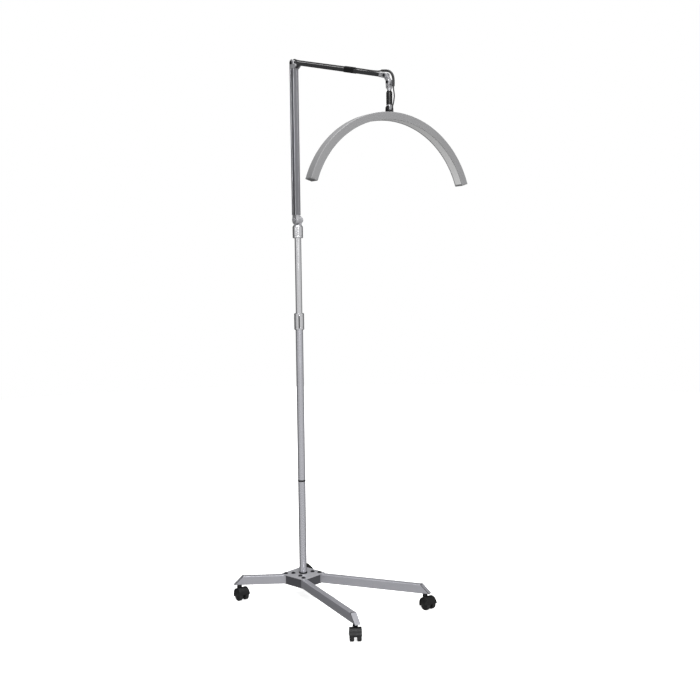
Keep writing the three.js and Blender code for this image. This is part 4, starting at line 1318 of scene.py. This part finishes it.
class EXAMLAMP_OT_lamp(bpy.types.Operator):
    """Builds the arc lamp: housing, opal diffuser, end caps, bracket, gland and button"""

    bl_idname = "exam_lamp.lamp"
    bl_label = "Lamp"

    def execute(self, context):
        settings = context.scene.lamp_head
        edge = settings.edge / MM
        radius, half, wall = LAMP["radius"], LAMP["half"], LAMP["wall"]
        inner = radius - LAMP["thickness"]
        stop = LAMP["angle"] - CAP_ANGLE
        channel = mirrored([
            (half - wall, radius - wall), (half - wall, inner), (half, inner), (half, radius - edge),
            (half - edge * 0.3, radius - edge * 0.3), (half - edge, radius),
        ])
        shell = lamp_arc(channel, -stop, stop, settings.steps, 0.35)
        piece("lamp_shell", [shell], LAMP_PLACE, "lamp_paint", "lamp", ["lamp_housing"])
        cover = half - wall - GAP
        crowned = mirrored([(-cover, inner + 2.8), (-cover, inner + 1.1), (-cover + 3, inner + 0.6)])
        reach = LAMP["angle"] - COVER_ANGLE
        glow = lamp_arc(crowned, -reach, reach, settings.steps, 0.3)
        piece("opal_diffuser", [glow], LAMP_PLACE, "opal", "lamp", ["diffuser"])
        self.caps(inner, radius, half, stop)
        self.bracket()
        self.small_pieces(half, wall)
        return {"FINISHED"}

    def caps(self, inner, radius, half, stop):
        face = mirrored([(half, inner), (half, radius)])
        lip = half - LAMP["wall"] - GAP
        plug = mirrored([(lip, inner + 1), (lip, radius - 3)])
        for name, sign in (("left", 1), ("right", -1)):
            cap = lamp_arc(face, sign * (stop + 0.07), sign * LAMP["angle"], 2, 1.4)
            insert = lamp_arc(plug, sign * (LAMP["angle"] - 1.1), sign * (stop + 0.2), 2)
            rounded(cap, 0.5, 2, above=math.radians(50))
            piece(f"lamp_end_{name}", [cap, insert], LAMP_PLACE, "lamp_paint", "lamp", [f"end_cap_{name}"])

    def bracket(self):
        out = TILT["half"] + GAP + TILT["cheek"]
        base = -LAMP["above"] + GAP
        outline = [(-7.5, base), (7.5, base), *arc(0, 0, 7, 0, 180, 24)]
        cheeks = two_plates(outline, out, TILT["cheek"])
        foot = block(-7.5, 7.5, -out, out, base, base + 2.8, 0.6)
        piece("lamp_bracket", [*cheeks, foot], LAMP_PLACE, "fine_plastic", "lamp", ["lamp_fork"])
        pin = bolt_along_y(3.4, out + GAP + 1.6, 1.6, 1.5)
        piece("tilt_screw", pin, LAMP_PLACE, "black_bolt", "lamp", ["tilt_pin"])

    def small_pieces(self, half, wall):
        foot = -LAMP["above"] + GAP
        gland = turned(
            [(0, foot), (3.6, foot), (3.6, foot + 2), (2.9, foot + 2.6), (2.8, foot + 4), (2.45, foot + 4.4),
             (2.65, foot + 5), (2.3, foot + 5.8), (2.5, foot + 6.6), (2.1, foot + 7.4), (2.3, foot + 8.8),
             (0, foot + 8.8)], 0.2, 48,
        )
        moved(gland, at(GLAND_PLACE))
        piece("lead_bush", [gland], LAMP_PLACE, "fine_plastic", "lamp", ["lead_gland"])
        angle = math.radians(BUTTON["angle"])
        middle = BUTTON["centre"]
        y = middle * math.sin(angle)
        z = -LAMP["above"] - LAMP["radius"] + middle * math.cos(angle)
        to_back = at((0, y, z)) @ Matrix.Rotation(-math.pi / 2, 4, "Y")
        radius = BUTTON["radius"]
        button = turned(
            [(0, half - wall - 2), (radius, half - wall - 2), (radius, half + 1.5), (radius - 1, half + 1.5),
             (radius - 1.4, half + 1.1), (0, half + 0.9)], 0.25, 64,
        )
        moved(button, to_back)
        piece("switch_button", [button], LAMP_PLACE, "fine_plastic", "power_button", ["power_button"])
        rim = pipe_outline(radius + 0.4, radius + 1.9, half - 0.6, half + 0.05)
        bezel = turned(rim, 0.1, 64, closed=True)
        piece("switch_bezel", [moved(bezel, to_back)], LAMP_PLACE, "plastic", "lamp")


class EXAMLAMP_OT_hidden_pieces(bpy.types.Operator):
    """Gives the frame's own inner pieces their finish"""

    bl_idname = "exam_lamp.hidden_pieces"
    bl_label = "Inner pieces"

    def execute(self, context):
        for node, finish in (("guide_bush", "plastic"), ("led_strip", "strip_board")):
            materials = frame["nodes"][node].data.materials
            materials.clear()
            materials.append(finish_named(finish))
        return {"FINISHED"}


# ---------------------------------------------------------------- studio


class EXAMLAMP_OT_studio(bpy.types.Operator):
    """Sets up the floor, the surroundings, the lights and the camera"""

    bl_idname = "exam_lamp.studio"
    bl_label = "Studio"

    def execute(self, context):
        settings = context.scene.lamp_studio
        self.floor(settings.floor)
        self.surroundings(settings.world_light)
        self.light("key_light", (3.5, -2.5, 2.4), (0, 0, 0.9), 0.9, settings.key_power)
        self.light("fill_light", (0.2, -4.2, 2.0), (0, 0, 1.0), 1.2, settings.fill_power)
        self.light("top_light", (0.2, -0.2, 4.6), (0, 0, 0.6), 1.6, settings.top_power)
        self.camera(settings)
        context.scene.view_settings.view_transform = "Standard"
        return {"FINISHED"}

    def floor(self, colour):
        form = bmesh.new()
        bmesh.ops.create_circle(form, cap_ends=True, radius=6, segments=96)
        mesh = bpy.data.meshes.new("floor")
        form.to_mesh(mesh)
        form.free()
        made = bpy.data.objects.new("floor", mesh)
        made.visible_diffuse = False
        made.visible_glossy = False
        bpy.context.scene.collection.objects.link(made)
        finish = Finish("studio_floor", roughness=0.8, specular_ior_level=0.1, emission_strength=1.0)
        tone = finish.noise(3.0, 3.0)
        finish.feed("Base Color", finish.mix(tone, shade(colour, 0.99), shade(colour, 1.01)))
        where = finish.node("TexCoord", {}, {}, "Object")
        away = finish.node("VectorMath", {"operation": "LENGTH"}, {0: where}, "Value")
        glow = finish.mix(away.between(0.8, 5.0), (0.74, 0.74, 0.74), (1.05, 1.05, 1.05))
        finish.feed("Emission Color", glow)
        mesh.materials.append(finish.material)

    def surroundings(self, light):
        """A white sweep behind the lamp, and a softly graded grey room for reflections."""
        world = bpy.data.worlds.new("studio")
        world.use_nodes = True
        bpy.context.scene.world = world
        nodes, links = world.node_tree.nodes, world.node_tree.links
        room = nodes["Background"]
        room.inputs["Color"].default_value = (1, 1, 1, 1)
        sweep = nodes.new("ShaderNodeBackground")
        sweep.inputs["Color"].default_value = (1, 1, 1, 1)
        seen = nodes.new("ShaderNodeLightPath")
        join = nodes.new("ShaderNodeMixShader")
        links.new(seen.outputs["Is Camera Ray"], join.inputs[0])
        where = nodes.new("ShaderNodeTexCoord")
        toward = nodes.new("ShaderNodeVectorMath")
        toward.operation = "DOT_PRODUCT"
        toward.inputs[1].default_value = (0.80, -0.58, 0.15)
        grade = nodes.new("ShaderNodeMapRange")
        grade.interpolation_type = "SMOOTHSTEP"
        grade.inputs["From Min"].default_value = -0.75
        grade.inputs["From Max"].default_value = 0.55
        grade.inputs["To Min"].default_value = 0.12 * light
        grade.inputs["To Max"].default_value = 1.35 * light
        links.new(where.outputs["Generated"], toward.inputs[0])
        links.new(toward.outputs["Value"], grade.inputs["Value"])
        links.new(grade.outputs["Result"], room.inputs["Strength"])
        links.new(room.outputs[0], join.inputs[1])
        links.new(sweep.outputs[0], join.inputs[2])
        links.new(join.outputs[0], nodes["World Output"].inputs["Surface"])

    def light(self, name, place, aim, size, power):
        lamp = bpy.data.lights.new(name, "AREA")
        lamp.shape = "DISK"
        lamp.size = size
        lamp.energy = power
        made = bpy.data.objects.new(name, lamp)
        made.location = place
        made.rotation_mode = "QUATERNION"
        made.rotation_quaternion = (Vector(aim) - Vector(place)).to_track_quat("-Z", "Y")
        bpy.context.scene.collection.objects.link(made)

    def camera(self, settings):
        data = bpy.data.cameras.new("camera")
        data.lens = settings.lens
        made = bpy.data.objects.new("camera", data)
        roll = Matrix.Rotation(settings.camera_roll, 4, "Z")
        aim = Vector(settings.camera_aim).to_track_quat("-Z", "Y").to_matrix().to_4x4()
        made.matrix_world = COLUMN @ at(settings.camera_place) @ aim @ roll
        bpy.context.scene.collection.objects.link(made)
        bpy.context.scene.camera = made


# ---------------------------------------------------------------- panel and registration

SETTINGS = {
    "lamp_stand": StandSettings,
    "lamp_column": ColumnSettings,
    "lamp_arm": ArmSettings,
    "lamp_head": LampSettings,
    "lamp_finish": FinishSettings,
    "lamp_studio": StudioSettings,
}
OPERATORS = (
    EXAMLAMP_OT_studio,
    EXAMLAMP_OT_cables,
    EXAMLAMP_OT_hub,
    EXAMLAMP_OT_legs,
    EXAMLAMP_OT_casters,
    EXAMLAMP_OT_lower_column,
    EXAMLAMP_OT_clamp,
    EXAMLAMP_OT_upper_column,
    EXAMLAMP_OT_turret,
    EXAMLAMP_OT_lower_arm,
    EXAMLAMP_OT_boom,
    EXAMLAMP_OT_head,
    EXAMLAMP_OT_lamp,
    EXAMLAMP_OT_hidden_pieces,
)


class EXAMLAMP_PT_panel(bpy.types.Panel):
    """Lists the lamp's settings and the steps that build it"""

    bl_idname = "EXAMLAMP_PT_panel"
    bl_label = "Examination Lamp"
    bl_space_type = "VIEW_3D"
    bl_region_type = "UI"
    bl_category = "Exam Lamp"

    def draw(self, context):
        for name, group in SETTINGS.items():
            box = self.layout.box()
            for prop in group.__annotations__:
                box.prop(getattr(context.scene, name), prop)
        for operator in OPERATORS:
            self.layout.operator(operator.bl_idname)


def register():
    for name, group in SETTINGS.items():
        bpy.utils.register_class(group)
        setattr(bpy.types.Scene, name, PointerProperty(type=group))
    for operator in OPERATORS:
        bpy.utils.register_class(operator)
    bpy.utils.register_class(EXAMLAMP_PT_panel)


def unregister():
    bpy.utils.unregister_class(EXAMLAMP_PT_panel)
    for operator in reversed(OPERATORS):
        bpy.utils.unregister_class(operator)
    for name, group in SETTINGS.items():
        delattr(bpy.types.Scene, name)
        bpy.utils.unregister_class(group)


def main():
    register()
    for operator in OPERATORS:
        category, action = operator.bl_idname.split(".")
        getattr(getattr(bpy.ops, category), action)()
    bpy.context.view_layer.update()


if __name__ == "__main__":
    main()
